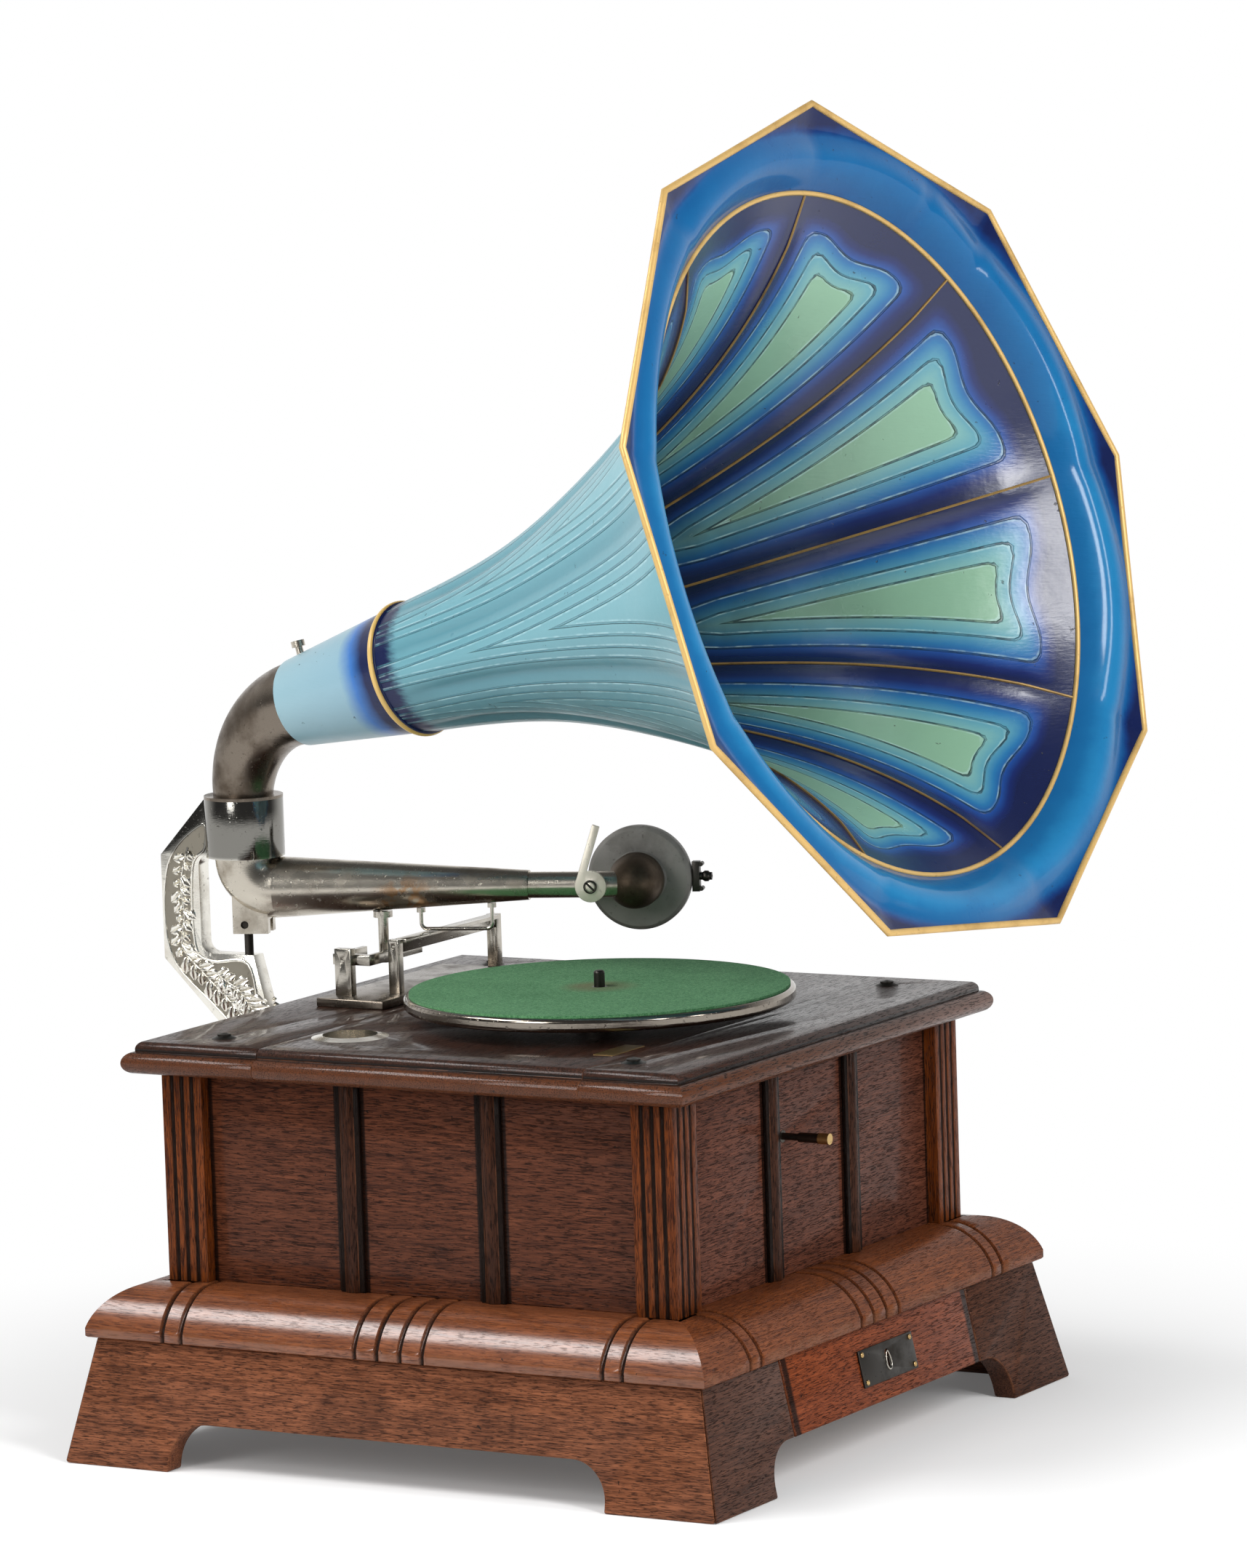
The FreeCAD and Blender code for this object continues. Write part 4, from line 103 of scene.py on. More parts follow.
def mixed(first: Colour, second: Colour, share: float) -> Colour:
    """A colour between two colours."""
    return tuple(a + (b - a) * share for a, b in zip(first, second))


def dimmed(colour: Colour, share: float) -> Colour:
    """A share of a colour's light."""
    return tuple(share * part for part in colour)


class Sock:
    """A node's output that adds Math nodes when it is used in an expression."""

    def __init__(self, nodes: "Nodes", socket: bpy.types.NodeSocket) -> None:
        """Wraps an output of a tree under construction."""
        self.nodes = nodes
        self.socket = socket

    def math(self, operation: str, *others: Any) -> "Sock":
        """One Math node on this value and others."""
        return self.nodes.math(operation, self, *others)

    def __add__(self, other: Any) -> "Sock":
        """This value plus another."""
        return self.math("ADD", other)

    __radd__ = __add__

    def __mul__(self, other: Any) -> "Sock":
        """This value times another."""
        return self.math("MULTIPLY", other)

    __rmul__ = __mul__

    def __sub__(self, other: Any) -> "Sock":
        """This value minus another."""
        return self.math("SUBTRACT", other)

    def __rsub__(self, other: float) -> "Sock":
        """A number minus this value."""
        return self.nodes.math("SUBTRACT", other, self)

    def band(self, low: float, high: float) -> "Sock":
        """This value eased from 0 at low to 1 at high; low may be the greater."""
        ends = (high, low, 1.0, 0.0) if low > high else (low, high, 0.0, 1.0)
        return self.nodes.sock(self.nodes.node(
            "ShaderNodeMapRange", {"interpolation_type": "SMOOTHSTEP"}, self, *ends), "Result")

    def line(self, centre: float, half: float) -> "Sock":
        """1 where this value is near a centre, falling to 0 at half a width away."""
        return (self - centre).math("ABSOLUTE").band(half, half * 0.35)


def greatest(*values: Sock) -> Sock:
    """The greatest of some values."""
    return reduce(lambda first, second: first.math("MAXIMUM", second), values)


def plug(slot: bpy.types.NodeSocket, item: Any) -> None:
    """Feeds an input of a node.

    Args:
        slot: the input.
        item: an output to link, or the number, colour or the like to set.
    """
    if isinstance(item, Sock):
        item.nodes.tree.links.new(item.socket, slot)
    elif slot.type == "RGBA":
        slot.default_value = (*item, 1.0)
    else:
        slot.default_value = item


class Nodes:
    """A node tree under construction."""

    def __init__(self, tree: bpy.types.NodeTree) -> None:
        """Starts on a tree."""
        self.tree = tree

    def node(self, kind: str, settings: dict[str, Any] | None = None, *items: Any,
             **inputs: Any) -> bpy.types.Node:
        """Adds any node.

        Args:
            kind: the node's type.
            settings: properties that are set first; a ramp's stops go under "stops".
            items: values or links of its inputs, in their order.
            inputs: values or links of its inputs by name, spaces written as underscores.

        Returns:
            The node.
        """
        node = self.tree.nodes.new(kind)
        for key, item in (settings or {}).items():
            if key != "stops":
                setattr(node, key, item)
                continue
            stops = node.color_ramp.elements
            while len(stops) < len(item):
                stops.new(0.5)
            for stop, (place, colour) in zip(stops, item):
                stop.position, stop.color = place, (*colour, 1.0)
        for slot, item in zip(node.inputs, items):
            plug(slot, item)
        for key, item in inputs.items():
            plug(node.inputs[key.replace("_", " ")], item)
        return node

    def sock(self, node: bpy.types.Node, output: str | int = 0) -> Sock:
        """An output of a node, ready for expressions."""
        return Sock(self, node.outputs[output])

    def math(self, operation: str, *items: Any) -> Sock:
        """One Math node on values."""
        return self.sock(self.node("ShaderNodeMath", {"operation": operation}, *items))

    def axis(self, where: Sock, name: str) -> Sock:
        """One coordinate of a place."""
        return self.sock(self.node("ShaderNodeSeparateXYZ", None, where), name)

    def length(self, operation: str, *places: Any) -> Sock:
        """The length of a place, or the distance of two."""
        node = self.node("ShaderNodeVectorMath", {"operation": operation}, *places)
        return self.sock(node, "Value")

    def rays(self, *names: str) -> Sock:
        """1 for a ray of one of the kinds that are named."""
        path = self.node("ShaderNodeLightPath")
        return greatest(*[self.sock(path, name) for name in names])


class Palette(Nodes):
    """A material under construction: a Principled shader and the nodes that feed it."""

    def __init__(self, name: str, **constants: Any) -> None:
        """Starts a material.

        Args:
            name: the material's name.
            constants: Principled inputs that are the same all over.
        """
        self.material = bpy.data.materials.new(name)
        self.material.use_nodes = True
        super().__init__(self.material.node_tree)
        self.shader = self.tree.nodes["Principled BSDF"]
        self.colour: Any = None
        self.feed(**constants)

    def feed(self, **sources: Any) -> None:
        """Links or sets the shader's inputs, spaces written as underscores."""
        for key, source in sources.items():
            plug(self.shader.inputs[key.replace("_", " ")], source)

    def place(self, scale: Sequence[float] = (1, 1, 1), turn: Sequence[float] = (0, 0, 0)) -> Sock:
        """Object coordinates, scaled and turned."""
        source = self.sock(self.node("ShaderNodeTexCoord"), "Object")
        return self.sock(self.node("ShaderNodeMapping", Vector=source, Scale=scale, Rotation=turn))

    def noise(self, where: Sock, scale: float, detail: float = 3.0, rough: float = 0.55,
              twist: float = 0.0) -> Sock:
        """Noise from about 0 to 1 at a place."""
        return self.sock(self.node("ShaderNodeTexNoise", Vector=where, Scale=scale, Detail=detail,
                                   Roughness=rough, Distortion=twist), "Fac")

    def attribute(self, name: str) -> Sock:
        """A number stored on the mesh."""
        return self.sock(self.node("ShaderNodeAttribute", {"attribute_name": name}), "Fac")

    def ramp(self, factor: Sock, *stops: tuple[float, Colour]) -> Sock:
        """A colour ramp over a factor."""
        return self.sock(self.node("ShaderNodeValToRGB", {"stops": stops}, factor), "Color")

    def layer(self, factor: Sock, colour: Colour) -> None:
        """Lays a colour over the surface's colour.

        Args:
            factor: how much of it shows, from 0 to 1.
            colour: the colour.
        """
        node = self.node("ShaderNodeMix", {"data_type": "RGBA"}, factor)
        plug(node.inputs[6], self.colour)
        plug(node.inputs[7], colour)
        self.colour = self.sock(node, 2)

    def bump(self, height: Sock, depth: float) -> None:
        """Puts a relief of a depth in metres on the surface."""
        relief = self.node("ShaderNodeBump", Height=height, Distance=depth, Strength=1.0)
        self.feed(Normal=self.sock(relief))


class Grain(Enum):
    """The direction in which a board's grain runs."""

    ALONG_X = (0.06, 1.0, 1.0)
    ALONG_Y = (1.0, 0.06, 1.0)
    ALONG_Z = (1.0, 1.0, 0.06)


@dataclass(frozen=True)
class Wood:
    """Stained and varnished open-grained wood."""

    name: str
    grain: Grain
    dark: Colour
    light: Colour
    gloss: float = 0.40
    coat: float = 0.12
    coat_rough: float = 0.10
    pores: float = 0.75
    wave: float = 0.3
    shine: float = 0.10
    stain: float = 0.22
    worn: Colour = (0.17, 0.062, 0.026)
    # Painted shade for grooves, recesses and the joints beside boards.
    dirt: Colour = (0.006, 0.003, 0.002)
    dent: Colour = (0.010, 0.006, 0.004)
    nose: Colour | None = None
    # Painted shadow along the step above the nose.
    nose_line: Colour = (0.005, 0.003, 0.002)
    nose_height: float = 0.2640
    seams: tuple[float, ...] = ()
    seam_half: float = 2.2
    streak_scale: float = 760.0
    growth_scale: float = 110.0
    pore_scale: float = 1500.0
    cloud_scale: float = 7.0
    stain_scale: float = 11.0
    rub_scale: float = 45.0
    gloss_scale: float = 26.0
    dent_scale: float = 210.0

    def seam(self, paint: Palette, spot: Sock) -> Sock:
        """Painted shadow in the joints beside a board.

        Args:
            paint: the material.
            spot: its object coordinates.

        Returns:
            How much there is, from 0 to 1.
        """
        name, middle = ("X", HOME.x) if self.grain is Grain.ALONG_X else ("Y", HOME.y)
        across = paint.axis(spot, name)
        return greatest(*[across.line((middle + side * place) * MM, self.seam_half * MM)
                          for place in self.seams for side in (-1, 1)])

    def material(self) -> Material:
        """Builds the finish: growth streaks, open pores, stain clouds, rubbed edges and dents.

        Returns:
            The material.
        """
        paint = Palette(self.name, Coat_Roughness=self.coat_rough, Specular_IOR_Level=self.shine)
        spot, along = paint.place(), paint.place(self.grain.value)
        fine = paint.place([1.6 * share if share < 1 else share for share in self.grain.value])
        streaks = paint.noise(along, self.streak_scale, 4.0, 0.65, self.wave)
        growth = paint.noise(along, self.growth_scale, twist=self.wave)
        pores = paint.noise(fine, self.pore_scale, 2.0).band(0.52, 0.64)
        tone = streaks * 0.70 + growth * 0.22 + paint.noise(spot, self.cloud_scale) * 0.08
        middle = mixed(self.dark, self.light, 0.5)
        paint.colour = paint.ramp(tone, (0.36, self.dark), (0.50, middle), (0.64, self.light))
        stain = paint.noise(spot, self.stain_scale, 5.0, 0.62, 0.8).band(0.50, 0.70)
        paint.layer(stain * self.stain, dimmed(self.dark, 0.45))
        if self.nose:
            level = paint.axis(spot, "Z")
            low = level.band(self.nose_height + 0.0004, self.nose_height - 0.0012)
            paint.layer(low * (growth * 0.7 + 0.35), self.nose)
            # Painted shadow along the step above the nose.
            step_shadow = level.line(self.nose_height + 0.0009, 0.0018)
            paint.layer(step_shadow * 0.85, self.nose_line)
        paint.layer(pores * self.pores, dimmed(self.dark, 0.22))
        rubbed = paint.noise(spot, self.rub_scale, 4.0).band(0.40, 0.62)
        paint.layer(paint.attribute("edge") * rubbed * 0.65, self.worn)
        # Painted shade in grooves, reeds and lower steps, and painted shadow in the joints beside
        # boards.
        recess = paint.attribute("recess")
        paint.layer(recess * 0.95, self.dirt)
        if self.seams:
            paint.layer(self.seam(paint, spot) * 0.9, self.dirt)
        dents = paint.noise(spot, self.dent_scale, 2.0).band(0.725, 0.76)
        paint.layer(dents * 0.8, self.dent)
        rough = self.gloss + pores * 0.22 + paint.noise(spot, self.gloss_scale) * 0.20 - 0.10
        coat = (1.0 - pores * 0.5) * (1.0 - recess) * self.coat
        paint.feed(Base_Color=paint.colour, Roughness=rough, Coat_Weight=coat)
        paint.bump(streaks * 0.35 - pores * 0.8 - dents, 0.0003 * (1.0 - 0.6 * self.coat))
        return paint.material


@dataclass(frozen=True)
class Metal:
    """Plated or bare metal with smears, tarnish and fine scratches."""

    name: str
    bright: Colour
    dull: Colour
    rough: float = 0.16
    spread: float = 0.2
    tarnish: float = 0.5
    pits: float = 0.3
    metallic: float = 1.0
    dark_above: float | None = None
    shade_above: float = 0.32
    polish_above: float = 0.0
    rub: tuple[float, float, float] | None = None
    rub_radius: float = 0.028
    rub_colour: Colour = (0.50, 0.27, 0.12)
    tip: float | None = None
    tip_colour: Colour = (0.62, 0.42, 0.17)
    cloud_scale: float = 26.0
    smear_scale: float = 90.0
    pit_scale: float = 340.0
    scratch_scale: float = 160.0

    def material(self) -> Material:
        """Builds the finish: tarnish clouds, smears, pits, scratches and places that are worn.

        Returns:
            The material.
        """
        paint = Palette(self.name, Metallic=self.metallic)
        spot = paint.place()
        cloud = paint.noise(spot, self.cloud_scale, 5.0, 0.62)
        pits = paint.noise(spot, self.pit_scale, 2.0, 0.6).band(0.64, 0.74)
        smear = paint.noise(spot, self.smear_scale, 4.0, 0.6)
        veil = cloud.band(0.46, 0.70) * self.tarnish
        paint.colour = self.bright
        paint.layer(veil, self.dull)
        rough = veil * self.spread + smear * 0.14 + pits * 0.2 + self.rough - 0.05
        if self.dark_above is not None:
            upper = paint.axis(spot, "Z").band(self.dark_above - 0.002, self.dark_above + 0.002)
            paint.layer(upper, dimmed(self.bright, self.shade_above))
            rough = rough - upper * self.polish_above
        if self.tip is not None:
            ahead = paint.axis(spot, "Y").band(self.tip + 0.0005, self.tip - 0.0005)
            paint.layer(ahead, self.tip_colour)
        if self.rub is not None:
            near = paint.length("DISTANCE", spot, self.rub)
            bare = near.band(self.rub_radius, 0.3 * self.rub_radius) * smear.band(0.45, 0.55)
            paint.layer(bare * 0.8, self.rub_colour)
        paint.layer(pits * self.pits, dimmed(self.dull, 0.35))
        paint.feed(Base_Color=paint.colour, Roughness=rough)
        drawn = paint.place((1, 1, 14), (0.4, 0.7, 0.2))
        scratch = paint.noise(drawn, self.scratch_scale, 2.0)
        paint.bump(scratch * 0.5 - pits, 0.00006)
        return paint.material


@dataclass(frozen=True)
class Felt:
    """Pressed green wool felt, rubbed brown round the spindle."""

    name: str = "felt"
    green: Colour = (0.040, 0.165, 0.060)
    pale: Colour = (0.165, 0.390, 0.185)
    worn: Colour = (0.17, 0.115, 0.055)
    worn_radius: float = 0.030
    bare_radius: float = 0.012
    fibre_scale: float = 640.0
    cloud_scale: float = 30.0
    middle: Vector = field(default_factory=lambda: at(-19.1, -39.7, 291.3))

    def material(self) -> Material:
        """Builds the finish: fibres, mottling and the worn ring at the middle.

        Returns:
            The material.
        """
        paint = Palette(self.name, Sheen_Weight=0.08, Sheen_Roughness=0.5, Specular_IOR_Level=0.1)
        spot = paint.place()
        fibre = paint.noise(spot, self.fibre_scale, 5.0, 0.75, 1.2)
        cloud = paint.noise(spot, self.cloud_scale, 4.0, 0.6)
        paint.colour = self.green
        paint.layer((fibre * 0.98 + cloud * 0.12).band(0.40, 0.70), self.pale)
        away = paint.length("DISTANCE", spot, self.middle)
        rubbed = away.band(self.worn_radius, self.bare_radius)
        paint.layer(rubbed * (cloud * 0.8 + 0.1), self.worn)
        paint.feed(Base_Color=paint.colour, Roughness=fibre * 0.1 + 0.85)
        paint.bump(fibre + cloud * 0.4, 0.0007)
        return paint.material


@dataclass(frozen=True)
class Enamel:
    """Horn lacquer that is shaded by hand along the petals' contours."""

    name: str
    stops: tuple[tuple[float, Colour], ...]
    lines: tuple[float, ...] = ()
    source: str = "contour"
    chips: float = 0.6
    chip_colour: Colour = (0.03, 0.028, 0.025)
    relief: float = 0.0009
    rough: float = 0.32
    coat: float = 0.10
    coat_rough: float = 0.12
    gloss: float = 0.35
    neck_colour: Colour | None = None
    line_width: float = 0.022
    line_colour: Colour = (0.012, 0.03, 0.045)
    glint_colour: Colour = (0.42, 0.62, 0.60)
    # Painted shade: how much darker the skin is underneath, or deep towards the throat.
    soot: float = 0.0
    soot_colour: Colour = (0.045, 0.105, 0.125)
    mottle: float = 0.12
    cloud_scale: float = 24.0
    brush_scale: float = 120.0
    break_scale: float = 90.0
    chip_scale: float = 150.0
    dent_scale: float = 60.0

    def material(self) -> Material:
        """Builds the finish: shaded bands, pressed contour lines, brush clouds and chips.

        Returns:
            The material.
        """
        paint = Palette(self.name, Coat_Weight=self.coat, Coat_Roughness=self.coat_rough,
                        Specular_IOR_Level=self.gloss)
        spot = paint.place()
        cloud = paint.noise(spot, self.cloud_scale, 4.0, 0.6)
        brush = paint.noise(paint.place((1, 1, 5), (0.3, 0.2, 0.0)), self.brush_scale)
        level = paint.attribute(self.source)
        paint.colour = paint.ramp(level + (cloud - 0.5) * self.mottle, *self.stops)
        # Painted shade: darker underneath on the outer skin and deep towards the throat on the
        # inner one.
        if self.soot:
            under = paint.attribute("under") * (cloud * 0.8 + 0.4)
            paint.layer(under * self.soot, self.soot_colour)
        if self.neck_colour:
            edge = paint.attribute("neck") + brush * 0.20 - 0.10
            paint.layer(edge.band(0.34, 0.14), self.neck_colour)
        width = self.line_width
        # The glint lines beside the pressed ones are a painted highlight.
        pressed, glint = (greatest(level * 0.0, *[level.line(line + shift, width)
                                                  for line in self.lines])
                          for shift in (0.0, 1.5 * width))
        broken = paint.noise(spot, self.break_scale).band(0.40, 0.62)
        paint.layer(glint * (broken * 0.35 + 0.10), self.glint_colour)
        paint.layer(pressed * (broken * 0.5 + 0.30), self.line_colour)
        fleck = paint.noise(spot, self.chip_scale, 3.0, 0.65).band(0.70, 0.74)
        paint.layer(fleck * self.chips, self.chip_colour)
        rough = cloud * 0.16 + self.rough - 0.08 + fleck * 0.3
        paint.feed(Base_Color=paint.colour, Roughness=rough)
        dents = paint.noise(spot, self.dent_scale)
        paint.bump(pressed * 1.3 + dents * 0.35 + brush * 0.12 - fleck * 0.4, self.relief)
        return paint.material


# Places of the joints beside posts and mullions, where the panels get a painted shadow.
SEAMS = (42.3, 62.2, 157.3)
PANEL = Wood("panel_wood_sides", Grain.ALONG_Y, (0.030, 0.0075, 0.003), (0.135, 0.041, 0.018),
             seams=SEAMS)
PANEL_FRONT = Wood("panel_wood_front", Grain.ALONG_X, (0.038, 0.011, 0.006), (0.150, 0.050, 0.028),
                   wave=1.2, shine=0.06, seams=SEAMS)
POST = Wood("post_wood", Grain.ALONG_Z, (0.042, 0.008, 0.002), (0.185, 0.045, 0.008), gloss=0.34,
            coat=0.06)
# Darker than the posts' wood all over: painted shade, besides the painted shade on the lower steps.
MULLION = Wood("mullion_wood", Grain.ALONG_Z, (0.018, 0.006, 0.003), (0.060, 0.020, 0.009),
               gloss=0.36, coat=0.05)
PLINTH_SIDE = Wood("plinth_wood_sides", Grain.ALONG_Y, (0.062, 0.019, 0.008),
                   (0.268, 0.094, 0.042), stain=0.50)
# Grain across; the colours are darker than the sides' as painted shade on the front and back.
PLINTH_FRONT_SHADED = Wood("plinth_wood_front_shaded", Grain.ALONG_X, (0.030, 0.0105, 0.0055),
                    (0.100, 0.039, 0.022), shine=0.05)
# Painted shadow at both ends of the drawer, where the feet stand proud of it.
DRAWER = Wood("drawer_wood", Grain.ALONG_X, (0.085, 0.017, 0.005), (0.250, 0.060, 0.020), wave=0.8,
              shine=0.05, seams=(121.0,), seam_half=5.0)
SHOULDER_SIDE = Wood("shoulder_wood_sides", Grain.ALONG_Y, (0.085, 0.022, 0.007),
                     (0.250, 0.078, 0.027), gloss=0.30, coat=1.0, coat_rough=0.20, pores=0.5,
                     shine=0.12)
SHOULDER_FRONT = Wood("shoulder_wood_front", Grain.ALONG_X, (0.075, 0.018, 0.005),
                      (0.214, 0.062, 0.020), gloss=0.34, coat=0.12, pores=0.5, shine=0.08)
TOP = Wood("top_wood", Grain.ALONG_X, (0.018, 0.008, 0.005), (0.068, 0.028, 0.018), gloss=0.34,
           coat=0.30, shine=0.12, wave=0.1, nose=(0.115, 0.036, 0.013))
INNER = Wood("inner_wood", Grain.ALONG_Y, (0.16, 0.085, 0.042), (0.32, 0.19, 0.10), gloss=0.6,
             coat=0.0)
NICKEL = Metal("nickel", (0.60, 0.555, 0.475), (0.23, 0.182, 0.13), rough=0.22, tarnish=0.7,
               rub=tuple(at(24.6, 133.8, 331.0)))
ELBOW = Metal("elbow_nickel", (0.225, 0.190, 0.155), (0.080, 0.058, 0.040), rough=0.24, tarnish=0.8)
BRIGHT = Metal("bright_nickel", (0.54, 0.51, 0.45), (0.24, 0.195, 0.145), tarnish=0.55)
BRACKET = Metal("bracket_nickel", (0.90, 0.875, 0.80), (0.52, 0.46, 0.37), rough=0.20,
                tarnish=0.45, dark_above=0.3635, shade_above=0.26, polish_above=0.13)
FOIL = Metal("bracket_ground", (0.30, 0.275, 0.225), (0.15, 0.13, 0.10), rough=0.42)
DARK_NICKEL = Metal("platter_nickel", (0.30, 0.265, 0.225), (0.13, 0.105, 0.08), rough=0.12)
STEEL = Metal("dark_steel", (0.060, 0.055, 0.049), (0.030, 0.025, 0.021), rough=0.38, tarnish=0.8)
ARBOR = Metal("arbor_steel", (0.085, 0.072, 0.058), (0.035, 0.028, 0.022), rough=0.34,
              tip=(HOME.y - 207.5) * MM)
PEWTER = Metal("pewter", (0.245, 0.235, 0.215), (0.13, 0.12, 0.105), rough=0.5, tarnish=0.7,
               metallic=0.3)
CUP = Metal("cup_nickel", (0.80, 0.76, 0.69), (0.50, 0.44, 0.36), tarnish=0.4)
BRASS = Metal("brass", (0.60, 0.41, 0.18), (0.30, 0.19, 0.08), rough=0.28)
BRONZE = Metal("brown_hub", (0.135, 0.100, 0.070), (0.055, 0.040, 0.028), rough=0.46, tarnish=0.8)
CREAM = Metal("cream_plate", (0.78, 0.73, 0.62), (0.50, 0.44, 0.34), rough=0.36, metallic=0.6)
GOLD = Metal("gilt_line", (0.66, 0.43, 0.15), (0.40, 0.24, 0.07), rough=0.40, tarnish=0.7,
             metallic=0.35)
OLD_GOLD = Metal("gilt_rib", (0.30, 0.185, 0.055), (0.09, 0.055, 0.02), rough=0.40, tarnish=0.9,
                 metallic=0.4)
IRON = Metal("black_iron", (0.07, 0.07, 0.068), (0.04, 0.035, 0.03), rough=0.5)
MICA = Metal("mica", (0.62, 0.58, 0.48), (0.45, 0.40, 0.30), rough=0.4)
FELT = Felt()
NAVY: Colour = (0.005, 0.011, 0.060)
COBALT: Colour = (0.008, 0.060, 0.27)
# The petals' skins get painted shade, inside deep towards the throat and outside underneath.
PETAL_INSIDE = Enamel("petal_inside", (
    (0.10, NAVY), (0.24, (0.005, 0.017, 0.115)), (0.38, COBALT), (0.55, (0.018, 0.160, 0.36)),
    (0.74, (0.085, 0.295, 0.39)), (0.98, (0.180, 0.400, 0.380)), (1.0, (0.235, 0.43, 0.290))),
    (0.42, 0.74, 0.99), rough=0.25, coat=0.28, coat_rough=0.24, gloss=0.60, soot=0.95,
    soot_colour=(0.003, 0.010, 0.020))
PETAL_OUTSIDE = Enamel("petal_outside", (
    (0.0, (0.100, 0.265, 0.32)), (0.3, (0.130, 0.325, 0.385)), (1.0, (0.170, 0.385, 0.44))),
    (0.28, 0.50, 0.74, 0.97), chips=0.35, neck_colour=NAVY, line_width=0.028,
    line_colour=(0.07, 0.22, 0.28), glint_colour=(0.45, 0.68, 0.72), soot=0.75)
FLANGE = Enamel("flange", (
    (0.0, NAVY), (0.14, (0.004, 0.030, 0.14)), (0.34, (0.005, 0.080, 0.24)),
    (0.8, (0.008, 0.120, 0.30)), (1.0, (0.014, 0.170, 0.37))), source="inset", chips=0.4,
    relief=0.0012, rough=0.30, coat=0.55, gloss=0.05, mottle=0.45)
THROAT = Enamel("throat", (
    (0.0, (0.27, 0.43, 0.49)), (0.64, (0.25, 0.41, 0.49)), (0.76, (0.04, 0.16, 0.46)),
    (0.86, NAVY), (1.0, NAVY)), source="along", chips=0.8)
RING = Enamel("ring_band", (
    (0.0, NAVY), (0.40, NAVY), (0.52, (0.52, 0.33, 0.09)), (1.0, (0.68, 0.46, 0.15))),
    source="gilt", chips=0.5)


class Axis(Enum):
    """The axis that a hoop turns about, as the order of its sine, its cosine and its length."""

    X = (2, 1, 0)
    Y = (1, 2, 0)
    Z = (0, 1, 2)


def circle(count: int) -> Array:
    """Angles evenly round a circle."""
    return np.linspace(0, 2 * math.pi, count, endpoint=False)


def hoop(radius: Any, turn: Any, length: Any, axis: Axis = Axis.Z) -> Array:
    """Points about an axis.

    Args:
        radius: their distances from the axis.
        turn: their angles about it.
        length: their places along it.
        axis: the axis.

    Returns:
        The points, in the shape that the three numbers have together.
    """
    parts = np.broadcast_arrays(radius * np.sin(turn), radius * np.cos(turn), length)
    return np.stack([parts[index] for index in axis.value], axis=-1)


def run_along(path: Array) -> Array:
    """The distance along a flat path to each of its points."""
    return np.concatenate([[0.0], np.cumsum(np.hypot(*np.diff(path, axis=0).T))])


def cubic(knots: Array, values: Array, spots: Array) -> Array:
    """A natural cubic spline.

    Args:
        knots: the places of the values, rising.
        values: the values that it passes.
        spots: the places where it is read.

    Returns:
        The spline's values there.
    """
    count = len(knots)
    gap = np.diff(knots)
    system, right = np.eye(count), np.zeros(count)
    for row in range(1, count - 1):
        before, after = gap[row - 1:row + 1]
        system[row, row - 1:row + 2] = before, 2 * (before + after), after
        right[row] = 6 * ((values[row + 1] - values[row]) / after
                          - (values[row] - values[row - 1]) / before)
    bend = np.linalg.solve(system, right)
    piece = np.clip(np.searchsorted(knots, spots) - 1, 0, count - 2)
    width, left, other = gap[piece], spots - knots[piece], knots[piece + 1] - spots
    return ((bend[piece] * other ** 3 + bend[piece + 1] * left ** 3) / (6 * width)
            + (values[piece] / width - bend[piece] * width / 6) * other
            + (values[piece + 1] / width - bend[piece + 1] * width / 6) * left)


def smooth_path(points: Sequence[Sequence[float]], closed: bool, fine: int = 6) -> Array:
    """A rounded path through points by cubic pieces.

    Args:
        points: the points that it passes.
        closed: whether it closes on itself.
        fine: the steps from a point to the next.

    Returns:
        The path's points.
    """
    points, count, path = np.array(points), len(points), []
    for index in range(count if closed else count - 1):
        near = [(index + step) % count if closed else min(max(index + step, 0), count - 1)
                for step in (-1, 0, 1, 2)]
        a, b, c, d = points[near]
        for share in np.linspace(0, 1, fine, endpoint=False):
            path.append(0.5 * (2 * b + (c - a) * share + (2 * a - 5 * b + 4 * c - d) * share ** 2
                               + (3 * b - a - 3 * c + d) * share ** 3))
    return np.array(path if closed else [*path, points[-1]])


def grid_faces(down: int, across: int, closed: bool = False) -> list[tuple[int, ...]]:
    """The faces between a grid's points; closed joins each row's end to its start."""
    return [(row * across + column, row * across + (column + 1) % across,
             (row + 1) * across + (column + 1) % across, (row + 1) * across + column)
            for row in range(down - 1) for column in range(across if closed else across - 1)]


def mesh_of(name: str, points: Array, edges: list, faces: list) -> Mesh:
    """Makes a mesh.

    Args:
        name: its name.
        points: its points in metres, in a list or a grid.
        edges: pairs of their numbers.
        faces: rings of their numbers.

    Returns:
        The mesh.
    """
    mesh = bpy.data.meshes.new(name)
    mesh.from_pydata([tuple(point) for point in points.reshape(-1, 3)], edges, faces)
    return mesh


@contextmanager
def reworked(source: Mesh, target: Mesh) -> Iterator[bmesh.types.BMesh]:
    """Opens a mesh for editing and writes the result at the end.

    Args:
        source: the mesh that is read.
        target: the mesh that is written.

    Yields:
        The form to edit.
    """
    form = bmesh.new()
    form.from_mesh(source)
    yield form
    form.to_mesh(target)
    form.free()


def shade(mesh: Mesh, angle: float = 34.0) -> None:
    """Shades a mesh smooth.

    Args:
        mesh: the mesh.
        angle: the angle in degrees above which an edge stays sharp.
    """
    mesh.polygons.foreach_set("use_smooth", [True] * len(mesh.polygons))
    mesh.set_sharp_from_angle(angle=math.radians(angle))
    mesh.update()


def cover(mesh: Mesh, material: Material) -> None:
    """Gives a mesh one material."""
    mesh.materials.clear()
    mesh.materials.append(material)


def link(name: str, mesh: Mesh, material: Material) -> Piece:
    """Puts a mesh into the scene.

    Args:
        name: the piece's name.
        mesh: its mesh.
        material: its material.

    Returns:
        The piece.
    """
    piece = bpy.data.objects.new(name, mesh)
    bpy.context.scene.collection.objects.link(piece)
    cover(mesh, material)
    return piece


